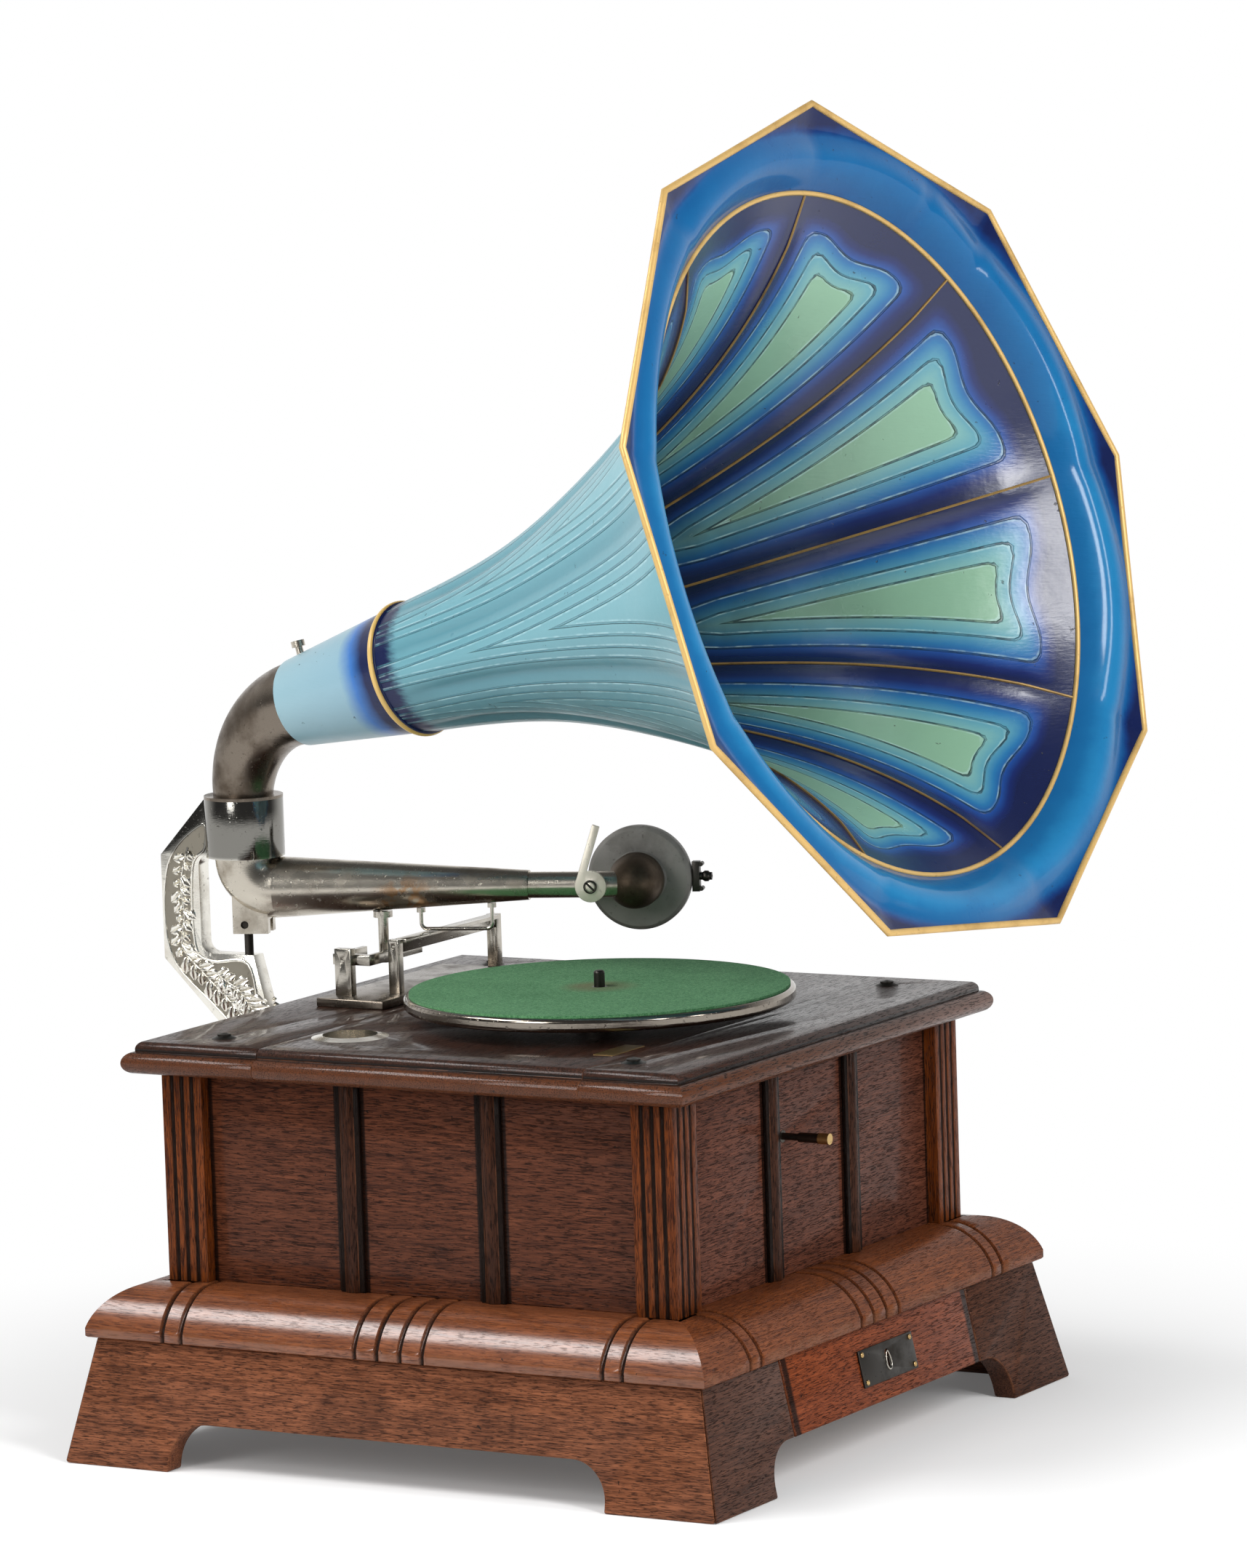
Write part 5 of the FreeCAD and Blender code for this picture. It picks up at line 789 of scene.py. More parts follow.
@dataclass
class Workshop:
    """The frame, the finishes and the ways in which pieces are made and set on bodies."""

    frame: dict[str, Any]
    finishes: dict[str, Material] = field(default_factory=dict)
    flat_angle: float = 0.6
    sharp_angle: float = 32.0

    def finish(self, recipe: Any) -> Material:
        """The material of a finish, built once.

        Args:
            recipe: the finish.

        Returns:
            The material.
        """
        if recipe.name not in self.finishes:
            self.finishes[recipe.name] = recipe.material()
        return self.finishes[recipe.name]

    def body_of(self, node: str) -> str:
        """The body that carries a node."""
        bodies = self.frame["record"]["behaviour"]["bodies"]
        return next(body for body, members in bodies.items() if node in members)

    def settle(self, piece: Piece, body: str, slot: str, *nodes: str) -> None:
        """Sets a finished piece on a body.

        Args:
            piece: the piece.
            body: the body it rides on.
            slot: the record's material slot; not used.
            nodes: the nodes that it stands for.
        """
        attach(piece, body)
        if nodes:
            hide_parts(*nodes)
        LOG.info("%s rides on %s", piece.name, body)

    def dress(self, recipe: Any, *nodes: str) -> None:
        """Gives nodes that keep their shape a finish."""
        for node in nodes:
            cover(self.frame["nodes"][node].data, self.finish(recipe))

    def soften(self, recipe: Any, slot: str, width: float, *nodes: str,
               recess: Callable[[Vector], float] | None = None) -> None:
        """Stands in for nodes by copies with rounded edges, marked for rubbing along them.

        Args:
            recipe: the finish.
            slot: the record's material slot.
            width: the rounding in millimetres.
            nodes: the nodes.
            recess: how much painted shade a point gets in a hollow, from 0 to 1.
        """
        for node in nodes:
            mesh = bpy.data.meshes.new(node + "_form")
            with reworked(self.frame["nodes"][node].data, mesh) as form:
                bmesh.ops.remove_doubles(form, verts=form.verts, dist=HAIR)
                bmesh.ops.dissolve_limit(form, angle_limit=math.radians(self.flat_angle),
                                         verts=form.verts, edges=form.edges)
                mark = form.verts.layers.float.new("edge")
                least = math.radians(self.sharp_angle)
                sharp = [edge for edge in form.edges
                         if len(edge.link_faces) == 2 and edge.calc_face_angle(0.0) > least]
                made = bmesh.ops.bevel(form, geom=sharp, offset=width * MM, segments=2, profile=0.5,
                                       affect="EDGES", clamp_overlap=True)
                strips = set(made["faces"])
                for vert in made["verts"]:
                    vert[mark] = 1.0 if strips.issuperset(vert.link_faces) else 0.0
                if recess:
                    # Painted shade: how far each point lies in a hollow.
                    dirt = form.verts.layers.float.new("recess")
                    for vert in form.verts:
                        vert[dirt] = recess(vert.co)
                bmesh.ops.dissolve_degenerate(form, dist=HAIR, edges=form.edges)
            shade(mesh)
            piece = link(node + "_form", mesh, self.finish(recipe))
            self.settle(piece, self.body_of(node), slot, node)

    def sheet(self, name: str, rows: Array, recipe: Any, closed: bool = False,
              flip: bool = False, **marks: Array) -> Piece:
        """A skin over a grid of points.

        Args:
            name: the piece's name.
            rows: points, as (rows, columns, 3), in metres.
            recipe: the finish.
            closed: whether each row closes on itself.
            flip: whether the rows run the other way, which turns the faces over.
            marks: numbers for the points, stored as attributes.

        Returns:
            The piece.
        """
        way = -1 if flip else 1
        mesh = mesh_of(name, rows[:, ::way], [], grid_faces(*rows.shape[:2], closed))
        for key, numbers in marks.items():
            grid = np.broadcast_to(numbers, rows.shape[:2])[:, ::way]
            layer = mesh.attributes.new(key, "FLOAT", "POINT")
            layer.data.foreach_set("value", grid.reshape(-1).astype(np.float32))
        shade(mesh, 60.0)
        return link(name, mesh, self.finish(recipe))

    def wire(self, name: str, path: Array, radius: float, recipe: Any, closed: bool = False,
             sides: int = 8) -> Piece:
        """A round wire along a path, made by geometry nodes and turned into a plain mesh.

        Args:
            name: the piece's name.
            path: points in metres.
            radius: the wire's radius in millimetres.
            recipe: the finish.
            closed: whether the path closes on itself.
            sides: the sides of the wire's section.

        Returns:
            The piece.
        """
        count = len(path)
        steps = [(index, (index + 1) % count) for index in range(count if closed else count - 1)]
        carrier = bpy.data.objects.new(name + "_path", mesh_of(name + "_path", path, steps, []))
        bpy.context.scene.collection.objects.link(carrier)
        tree = bpy.data.node_groups.new(name + "_tree", "GeometryNodeTree")
        interface = tree.interface
        interface.new_socket("Geometry", in_out="INPUT", socket_type="NodeSocketGeometry")
        size = interface.new_socket("Radius", in_out="INPUT", socket_type="NodeSocketFloat")
        interface.new_socket("Geometry", in_out="OUTPUT", socket_type="NodeSocketGeometry")
        nodes = Nodes(tree)
        start = nodes.node("NodeGroupInput")
        curve = nodes.node("GeometryNodeMeshToCurve", None, nodes.sock(start, "Geometry"))
        ring = nodes.node("GeometryNodeCurvePrimitiveCircle", Resolution=sides,
                          Radius=nodes.sock(start, "Radius"))
        tube = nodes.node("GeometryNodeCurveToMesh", None, nodes.sock(curve), nodes.sock(ring),
                          Fill_Caps=not closed)
        real = nodes.node("GeometryNodeRealizeInstances", None, nodes.sock(tube))
        paint = nodes.node("GeometryNodeSetMaterial", None, nodes.sock(real),
                           Material=self.finish(recipe))
        nodes.node("NodeGroupOutput", None, nodes.sock(paint))
        modifier = carrier.modifiers.new("wire", "NODES")
        modifier.node_group = tree
        modifier[size.identifier] = radius * MM
        graph = bpy.context.evaluated_depsgraph_get()
        made = bpy.data.meshes.new_from_object(carrier.evaluated_get(graph))
        carrier.modifiers.clear()
        bpy.data.objects.remove(carrier)
        with reworked(made, made) as form:
            bmesh.ops.recalc_face_normals(form, faces=form.faces)
        shade(made, 50.0)
        made.name = name
        return link(name, made, self.finish(recipe))

    def join(self, name: str, *pieces: Piece) -> Piece:
        """Joins pieces to one.

        Args:
            name: the joined piece's name.
            pieces: the pieces; the first one's finish comes first.

        Returns:
            The joined piece.
        """
        for item in bpy.context.selected_objects:
            item.select_set(False)
        for piece in pieces:
            piece.select_set(True)
        bpy.context.view_layer.objects.active = pieces[0]
        bpy.ops.object.join()
        joined = bpy.context.view_layer.objects.active
        joined.name = joined.data.name = name
        joined.select_set(False)
        return joined


@dataclass
class Horn:
    """The flared horn: petals, ribs, flange, gilt lines, ring and throat."""

    shop: Workshop
    petals: int = 9
    yaw: float = -5.36
    elevation: float = 15.19
    elbow_foot: float = 404.3
    bend: float = 65.0
    run: float = 5.4
    phase: float = 5.4
    wall: float = 1.2
    throat_radius: float = 29.5
    stations: Pairs = ((100.0, 43.0), (205.0, 60.0), (285.0, 88.0), (380.0, 136.0), (440.0, 184.0),
                       (471.8, 218.9))
    rim_length: float = 491.9
    rim_radius: float = 273.7
    crown: float = 9.0
    knocks: tuple[float, ...] = (33.0, 47.5)
    rib_height: float = 2.4
    rib_width: float = 5.0
    gilt_start: float = 120.0
    bulge: float = 0.016
    pinch: float = 0.012
    neck_fade: float = 60.0
    mouth_fade: float = 30.0
    ring_length: float = 9.0
    ring_height: float = 3.0
    contour_side: tuple[float, float] = (20.0, 0.36)
    contour_end: tuple[float, float] = (8.0, 36.0)
    contour_dip: tuple[float, float] = (4.0, 0.55)
    contour_blunt: float = 0.22
    pale_run: float = 190.0
    # Painted shade inside the bell fades out over this run from the throat.
    soot_run: float = 240.0
    knock_depth: float = 0.30
    knock_width: float = 1.1
    # Painted shade on the flange's upper part.
    dusk: float = 0.36
    edge_inset: float = 1.6
    roll_margin: float = 3.0
    ear_fade: float = 9.0
    edge_line: float = 2.3
    mouth_line: float = 1.7
    rib_line: float = 0.9
    wall_rows: int = 110

    def place(self) -> Matrix:
        """The horn's own frame: Z from the throat to the mouth and Y upwards.

        Returns:
            The matrix from it to the scene, millimetres to metres.
        """
        lift = math.radians(self.elevation)
        reach = self.bend * (1 - math.sin(lift)) + self.run * math.cos(lift)
        rise = self.bend * math.cos(lift) + self.run * math.sin(lift)
        throat = Matrix.Translation((0, -reach, self.elbow_foot + rise))
        yaw = Matrix.Rotation(math.radians(self.yaw), 4, "Z")
        swivel = Matrix.Translation((*SWIVEL, 0)) @ yaw
        tilt = Matrix.Rotation(math.radians(90.0 - self.elevation), 4, "X")
        return Matrix.Scale(MM, 4) @ Matrix.Translation(HOME) @ swivel @ throat @ tilt

    def put(self, points: Array) -> Array:
        """Moves points of the horn's own frame into the scene."""
        matrix = np.array(self.place())
        return points @ matrix[:3, :3].T + matrix[:3, 3]

    def turns(self, across: int) -> Array:
        """Angles round the axis from a rib, a number of them in each petal."""
        return math.radians(self.phase) + circle(self.petals * across)

    def wall_curve(self) -> Array:
        """The bell's wall by a spline through the stations.

        Returns:
            Points (radius, length) along it.
        """
        length, radius = np.array(self.stations).T
        knots = run_along(np.array(self.stations))
        spot = np.linspace(0, knots[-1], self.wall_rows)
        return np.stack([cubic(knots, radius, spot), cubic(knots, length, spot)], axis=1)

    def fade(self, run: Array) -> Array:
        """How far ribs and bulges stand out at distances along the wall, from 0 to 1."""
        return (np.clip((run[-1] - run) / self.mouth_fade, 0, 1)
                * np.clip(run / self.neck_fade, 0, 1))

    def contour(self, half: Array, share: Array, end: Array) -> Array:
        """The level of the nested contours: 0 at ribs and ring, 1 at the pale middle.

        Args:
            half: half a petal's width in millimetres.
            share: the place across, from -1 to 1.
            end: the distance to the ring in millimetres.

        Returns:
            The level at each point.
        """
        least, grow = self.contour_side
        start, reach = self.contour_end
        depth, width = self.contour_dip
        blunt = self.contour_blunt
        side = (1 - np.abs(share)) * half / (least + grow * half)
        dip = depth * (1 + np.cos(np.pi * np.clip(np.abs(share) / width, 0, 1)))
        tip = (end - start - dip) / reach
        gap = np.clip(0.5 + 0.5 * (tip - side) / blunt, 0, 1)
        return np.clip(tip * (1 - gap) + side * gap - blunt * gap * (1 - gap), 0, 1.2)

    def skin(self, name: str, inset: float, recipe: Enamel, across: int = 22) -> Piece:
        """One skin of the bell.

        Args:
            name: the piece's name.
            inset: how far inside the outer wall it lies, in millimetres; 0 is the outer skin.
            recipe: the finish.
            across: columns in a petal.

        Returns:
            The piece.
        """
        curve, turn = self.wall_curve(), self.turns(across)
        share = np.arange(len(turn)) % across / across * 2 - 1
        radius, run = curve[:, :1] - inset, run_along(curve)[:, None]
        half, fade = np.pi * radius / self.petals, self.fade(run)
        off_rib = (1 - np.abs(share)) * half
        rib = self.rib_height * np.exp(-(off_rib / self.rib_width) ** 2)
        bulge = self.bulge * radius * (1 - share ** 2)
        rows = hoop(radius - (rib - bulge + self.pinch * radius) * fade, turn, curve[:, 1:])
        level = self.contour(half, share, run[-1] - run)
        # Painted shade: darker underneath on the outer skin and deep towards the throat on the
        # inner one.
        under = -np.cos(turn) * 1.2 - 0.1
        if inset:
            level = level * np.clip(run / self.pale_run, 0.12, 1)
            under = 1.55 - run / self.soot_run
        return self.shop.sheet(name, self.put(rows), recipe, True, not inset, contour=level,
                               neck=np.clip(run / self.neck_fade, 0, 1), under=np.clip(under, 0, 1))

    def rib_path(self, index: int) -> Array:
        """The crest of a rib on the inside.

        Args:
            index: the rib's number.

        Returns:
            Points in the horn's own frame.
        """
        curve = self.wall_curve()
        radius, run = curve[:, 0] - self.wall, run_along(curve)
        reach = radius - (self.rib_height + self.pinch * radius) * self.fade(run) - 0.15
        angle = math.radians(self.phase + index * 360.0 / self.petals)
        return hoop(reach, angle, curve[:, 1])[run > self.gilt_start]

    def ring(self) -> Piece:
        """The dark band with a gilt bead where the throat meets the bell, closed underneath.

        Returns:
            The piece.
        """
        length, radius = self.stations[0]
        taper = (radius - self.throat_radius) / length
        share = np.linspace(0, 1, 25)
        bead = np.clip(1 - ((share - 0.62) / 0.30) ** 2, 0, 1) ** 0.5
        rise = 0.3 + (self.ring_height - 0.4) * bead
        rise = np.concatenate([rise, [-0.2, -0.2], rise[:1]])
        bead = np.concatenate([bead, [0.0, 0.0], bead[:1]])[:, None]
        back = self.ring_length * (1 - np.concatenate([share, [1.0, 0.0, 0.0]]))
        rows = hoop((radius - taper * back + rise)[:, None], circle(96), (length - back)[:, None])
        return self.shop.sheet("horn_ring_band", self.put(rows), RING, True, True, gilt=bead)

    def edge_radius(self, turn: Array) -> Array:
        """The distance from the axis to the straight-sided outer edge.

        Args:
            turn: angles about the axis.

        Returns:
            The distance at each of them.
        """
        sector = 2 * math.pi / self.petals
        local = (turn - math.radians(self.phase)) % sector - sector / 2
        return self.rim_radius * math.cos(sector / 2) / np.cos(local)

    def flange(self) -> Piece:
        """The flange: a roll round the ring and flat ears at the corners, with a back.

        Returns:
            The piece.
        """
        turn, sector, fine = self.turns(28), 2 * math.pi / self.petals, 25
        corner = np.abs((turn - math.radians(self.phase) + sector / 2) % sector - sector / 2)
        dent = 1 - 0.08 * np.exp(-(corner / 0.03) ** 2)
        for knock in self.knocks:
            off = (np.degrees(turn) - knock) / self.knock_width
            dent = dent - self.knock_depth * np.exp(-off ** 2)
        # Painted shade: the flange darker towards its top.
        dusk = 1 - self.dusk * np.clip(np.cos(turn), 0, 1)
        start, inner = self.stations[-1]
        inner -= 0.4
        outer = self.edge_radius(turn) - self.edge_inset
        roll = self.rim_radius * math.cos(sector / 2) - self.roll_margin - inner
        share = np.concatenate([np.linspace(0, 1, fine), np.linspace(1, 0, fine)])[:, None]
        back = np.repeat([0.0, self.wall], fine)[:, None]
        radius = inner + (outer - inner) * share
        over = np.clip((radius - inner) / roll, 0, 1)
        lift = self.crown * np.sin(np.pi * over ** 0.9) ** 1.35 * dent
        length = start + (self.rim_length - 0.8 - start) * share + lift - back
        ear = np.clip((radius - inner - roll * 0.93) / self.ear_fade, 0, 1)
        inset = (0.45 + 0.55 * np.sin(np.pi * over)) * (1 - ear) * dusk - 0.3 * (1 - dent)
        return self.shop.sheet("horn_flange", self.put(hoop(radius, turn, length)), FLANGE, True,
                               inset=np.clip(inset, 0, 1))

    def throat(self) -> Piece:
        """The throat tube, as a closed sheet with an inner wall.

        Returns:
            The piece.
        """
        length, last = self.stations[0]
        fine = 24
        share = np.concatenate([np.linspace(0, 1, fine), np.linspace(1, 0, fine), [0.0]])[:, None]
        back = np.repeat([0.0, self.wall, 0.0], [fine, fine, 1])[:, None]
        radius = self.throat_radius + (last - self.throat_radius) * share - back
        rows = hoop(radius, circle(96), share * length)
        return self.shop.sheet("horn_throat_tube", self.put(rows), THROAT, True, True, along=share)

    def build(self) -> None:
        """Makes the horn's pieces and sets them on the horn."""
        shop, settle = self.shop, self.shop.settle
        inside = self.skin("horn_petals_inside", self.wall, PETAL_INSIDE)
        outside = self.skin("horn_petals_outside", 0.0, PETAL_OUTSIDE)
        settle(shop.join("horn_petal_skins", inside, outside), "horn", "horn_paint", "horn_petals")
        settle(self.flange(), "horn", "horn_paint", "horn_rim")
        turn = self.turns(16)
        length, radius = self.stations[-1]
        edge = self.put(hoop(self.edge_radius(turn) - 2.4, turn, self.rim_length - 1.9))
        mouth = self.put(hoop(radius - 0.6, turn, length + 0.5))
        settle(shop.wire("horn_edge_line", edge, self.edge_line, GOLD, True), "horn", "gilt")
        settle(shop.wire("horn_mouth_line", mouth, self.mouth_line, GOLD, True), "horn", "gilt")
        settle(self.throat(), "horn", "horn_paint", "horn_throat")
        ribs = [shop.wire(f"rib{index}", self.put(self.rib_path(index)), self.rib_line, OLD_GOLD,
                          sides=6) for index in range(self.petals)]
        settle(shop.join("horn_rib_lines", *ribs), "horn", "gilt")
        settle(self.ring(), "horn", "gilt", "horn_ring")
        shop.dress(ELBOW, "horn_elbow")
        shop.dress(NICKEL, "horn_screw")


@dataclass
class Shoulder:
    """The rounded moulding on the plinth, with saw-cut grooves across it."""

    shop: Workshop
    foot: float = 81.0
    height: float = 33.0
    half: float = 229.0
    tread: float = 192.0
    inner: float = 167.0
    lip: float = 6.0
    arris: float = 1.0
    straight: float = 190.0
    groove_depth: float = 2.6
    groove_half: float = 2.1
    groove_flat: float = 0.6
    groups: tuple[float, ...] = (-170.0, -156.0, -25.0, -8.5, 8.5, 25.0, 156.0, 170.0)

    def section(self) -> Array:
        """The section from the inner foot by the lip and the round to the inner top.

        Returns:
            Points (reach, height).
        """
        width, rise = self.half - self.tread, self.height - self.lip
        radius = (width ** 2 + rise ** 2) / (2 * rise)
        sweep = np.linspace(math.asin(width / radius), 0, 18)
        arc = np.stack([self.tread + radius * np.sin(sweep),
                        self.foot + self.height - radius + radius * np.cos(sweep)], 1)
        return np.array([
            (self.inner, self.foot), (self.half - self.arris, self.foot),
            (self.half, self.foot + self.arris), (self.half, self.foot + self.lip - self.arris),
            *arc, (self.inner, self.foot + self.height)])

    def side(self, quarter: int) -> Piece:
        """One mitred length.

        Args:
            quarter: 0 right, 1 back, 2 left, 3 front.

        Returns:
            The piece.
        """
        section = self.section()
        cuts = [mark + side * self.groove_half * share for mark in self.groups
                for side in (-1, 1) for share in (0.15, 0.7, 1.0)]
        spots = np.unique([*np.linspace(-self.straight, self.straight, 41), *cuts])
        reach, height = section.T[..., None]
        spots = np.broadcast_to(spots, (len(section), len(spots)))
        along = np.concatenate([-reach, spots, reach], axis=1)
        off = np.min([np.abs(along - mark) for mark in self.groups], axis=0)
        depth = np.clip(1 - off / self.groove_half, 0, self.groove_flat) / self.groove_flat
        depth = depth * ((reach > self.tread - 8) & (height > self.foot + 0.5))
        sunk = self.groove_depth * depth
        points = np.stack([reach - 0.8 * sunk, along, height - 0.6 * sunk], axis=-1)
        edge = np.zeros(reach.shape)
        edge[2:5] = 1.0
        turn = np.array(Matrix.Rotation(quarter * math.pi / 2, 3, "Z"))
        recipe = SHOULDER_SIDE if quarter % 2 == 0 else SHOULDER_FRONT
        # The grooves' depth also sets the painted shade in them.
        return self.shop.sheet(f"shoulder{quarter}", placed(points @ turn.T), recipe, edge=edge,
                               recess=depth)

    def build(self) -> None:
        """Makes the four lengths as one piece."""
        joined = self.shop.join("shoulder_lengths", *[self.side(quarter) for quarter in range(4)])
        self.shop.settle(joined, "case", "wood", "shoulder_moulding")


@dataclass
class Case:
    """Plinth, body, top and drawer."""

    shop: Workshop
    half: float = 189.0
    post: float = 30.0
    groove: float = 0.6
    reed_depth: float = 3.0
    mullion_place: float = 52.25
    bead_half: float = 5.2
    splay: float = 17.5 / 81.0
    lock: tuple[float, float, float] = (6.0, -230.6, 55.2)
    pins: Pairs = ((-32, 9), (32, 9), (-32, -9), (32, -9))
    pin_ring: float = 1.05
    pin_radius: float = 0.85
    keyhole: tuple[float, float] = (3.0, 6.0)
    keyhole_wire: float = 0.6
    board_round: float = 1.6
    drawer_round: float = 1.2
    panel_round: float = 0.5
    top_round: float = 0.8
    plate_round: float = 0.3

    def post_groove(self, point: Vector) -> float:
        """How deep a point of a post lies below its two outer faces.

        Args:
            point: the point in metres.

        Returns:
            Its depth, from 0 to 1.
        """
        spot = point / MM - HOME
        across, along = sorted((abs(spot.x), abs(spot.y)))
        depth = self.half - along
        inside = self.half - self.post + 0.5 < across < self.half - 0.5
        return min(1.0, depth / self.groove) if inside and depth < self.reed_depth else 0.0

    def mullion_step(self, point: Vector) -> float:
        """1 on a mullion's lower steps and 0 on its raised middle."""
        across = min(abs(part) for part in (point / MM - HOME).xy)
        return 1.0 if abs(across - self.mullion_place) > self.bead_half else 0.0

    def on_lock(self, across: Array, rise: Array) -> Array:
        """Points of the leaning lock plate by their places across it and up it."""
        lean = math.atan(self.splay)
        return placed(np.stack([across, rise * math.sin(lean), rise * math.cos(lean)], axis=1)
                      + self.lock)

    def lock_pins(self) -> None:
        """Four pins at the corners of the lock plate and the bright edge of its keyhole."""
        shop, turn, parts = self.shop, circle(12), []
        for index, (across, rise) in enumerate(self.pins):
            head = self.on_lock(across + self.pin_ring * np.cos(turn),
                                rise + self.pin_ring * np.sin(turn))
            parts.append(shop.wire(f"lock_pin{index}", head, self.pin_radius, BRASS, True))
        turn, (width, height) = circle(28), self.keyhole
        hole = self.on_lock(width * np.cos(turn) * (1 - 0.3 * np.sin(turn)), height * np.sin(turn))
        parts.append(shop.wire("keyhole_edge", hole, self.keyhole_wire, BRIGHT, True))
        shop.settle(shop.join("lock_plate_pins", *parts), "drawer", "steel")

    def build(self) -> None:
        """Rounds the edges of the wooden pieces and gives every piece its finish."""
        shop = self.shop
        shop.soften(PLINTH_SIDE, "wood", self.board_round, "plinth_right", "plinth_left")
        shop.soften(PLINTH_FRONT_SHADED, "wood", self.board_round, "plinth_back", "plinth_front_feet")
        shop.soften(DRAWER, "wood", self.drawer_round, "drawer_front")
        self.lock_pins()
        shop.soften(PANEL, "wood", self.panel_round, "panel_right", "panel_left")
        shop.soften(PANEL_FRONT, "wood", self.panel_round, "panel_back", "panel_front")
        # The posts' reeds and the mullions' lower steps get painted shade through their recess
        # values.
        shop.soften(POST, "wood", self.panel_round, "corner_posts", recess=self.post_groove)
        shop.soften(MULLION, "wood", self.panel_round, "mullions", recess=self.mullion_step)
        shop.soften(TOP, "wood", self.top_round, "top_rear_board", "motor_board",
                    "top_front_board")
        shop.dress(INNER, "case_floor", "corner_blocks", "drawer_tray", "drawer_runners")
        shop.soften(STEEL, "steel", self.plate_round, "lock_plate")
        shop.dress(STEEL, "top_screws", "bracket_screws", "coin_lever", "coin_lever_post")
        shop.dress(BRASS, "bare_plate", "coin_slot_plate", "coin_chute")
        Shoulder(shop).build()


@dataclass
class SoundBox:
    """The sound box with its brown hub, its clamp plate and the chuck's screws."""

    shop: Workshop
    centre: tuple[float, float] = (-260.5, 342.0)
    hub: Pairs = ((-9.2, 0.05), (-8.4, 4.6), (-6.0, 8.8), (-2.5, 12.6), (2.0, 15.4), (8.0, 17.6),
                  (15.0, 18.4), (21.3, 18.4))
    chuck: tuple[float, float, float] = (36.8, -296.0, 342.0)
    nut: Pairs = ((-5.8, 2.2), (-6.0, 2.7), (-7.6, 3.7), (-9.8, 3.6), (-11.0, 2.5), (-11.7, 1.5),
                  (-12.6, 0.9), (-12.7, 0.02))
    knobs: Pairs = ((-2.0, 8.2), (-5.4, 8.2), (-2.0, -8.2), (-5.4, -8.2))
    knob_half: float = 3.2
    knob_radius: float = 1.5
    clamp: tuple[float, float, float] = (-13.0, -235.0, 342.0)
    head_radius: float = 4.0
    head_wire: float = 0.6
    cut_half: float = 2.4
    cut_wire: float = 0.7
    clamp_round: float = 0.5
    shell_round: float = 0.8
    lever_round: float = 0.4

    def turned(self, name: str, profile: Pairs, count: int, axis: Axis, spot: Sequence[float],
               recipe: Any) -> Piece:
        """A turned skin in the arm's frame.

        Args:
            name: the piece's name.
            profile: pairs of a place along the axis and a radius.
            count: the columns round the axis.
            axis: the axis.
            spot: the place of the profile's zero.
            recipe: the finish.

        Returns:
            The piece.
        """
        place, radius = np.array(profile).T[..., None]
        rows = hoop(radius, circle(count), place, axis) + spot
        return self.shop.sheet(name, in_arm(rows), recipe, True)

    def build(self) -> None:
        """Makes the hub, the chuck's screws and nut and the clamp's screw, and dresses the rest."""
        shop, steps = self.shop, np.array([-1.0, 0.0, 1.0])
        hub = self.turned("crook_hub", self.hub, 72, Axis.X, (0.0, *self.centre), BRONZE)
        shop.settle(hub, "arm", "nickel")
        screws = []
        for index, (along, rise) in enumerate(self.knobs):
            path = np.array([(step * self.knob_half, along, rise) for step in steps]) + self.chuck
            screws.append(shop.wire(f"knob{index}", in_arm(path), self.knob_radius, STEEL,
                                    sides=10))
        screws.append(self.turned("nut", self.nut, 24, Axis.Y, self.chuck, STEEL))
        shop.settle(shop.join("chuck_screws", *screws), "sound_box", "steel")
        cut = np.outer(steps, (0.0, self.cut_half, self.cut_half)) + self.clamp
        head = hoop(self.head_radius, circle(24), 0.0, Axis.X) + self.clamp
        marks = [shop.wire("clamp_cut", in_arm(cut), self.cut_wire, STEEL),
                 shop.wire("clamp_head", in_arm(head), self.head_wire, STEEL, True)]
        shop.settle(shop.join("clamp_slot_marks", *marks), "clamp", "nickel")
        shop.soften(CREAM, "nickel", self.clamp_round, "clamp_lever")
        shop.soften(PEWTER, "pewter", self.shell_round, "soundbox_shell")
        shop.soften(STEEL, "steel", self.lever_round, "needle_lever")
        shop.dress(MICA, "diaphragm")


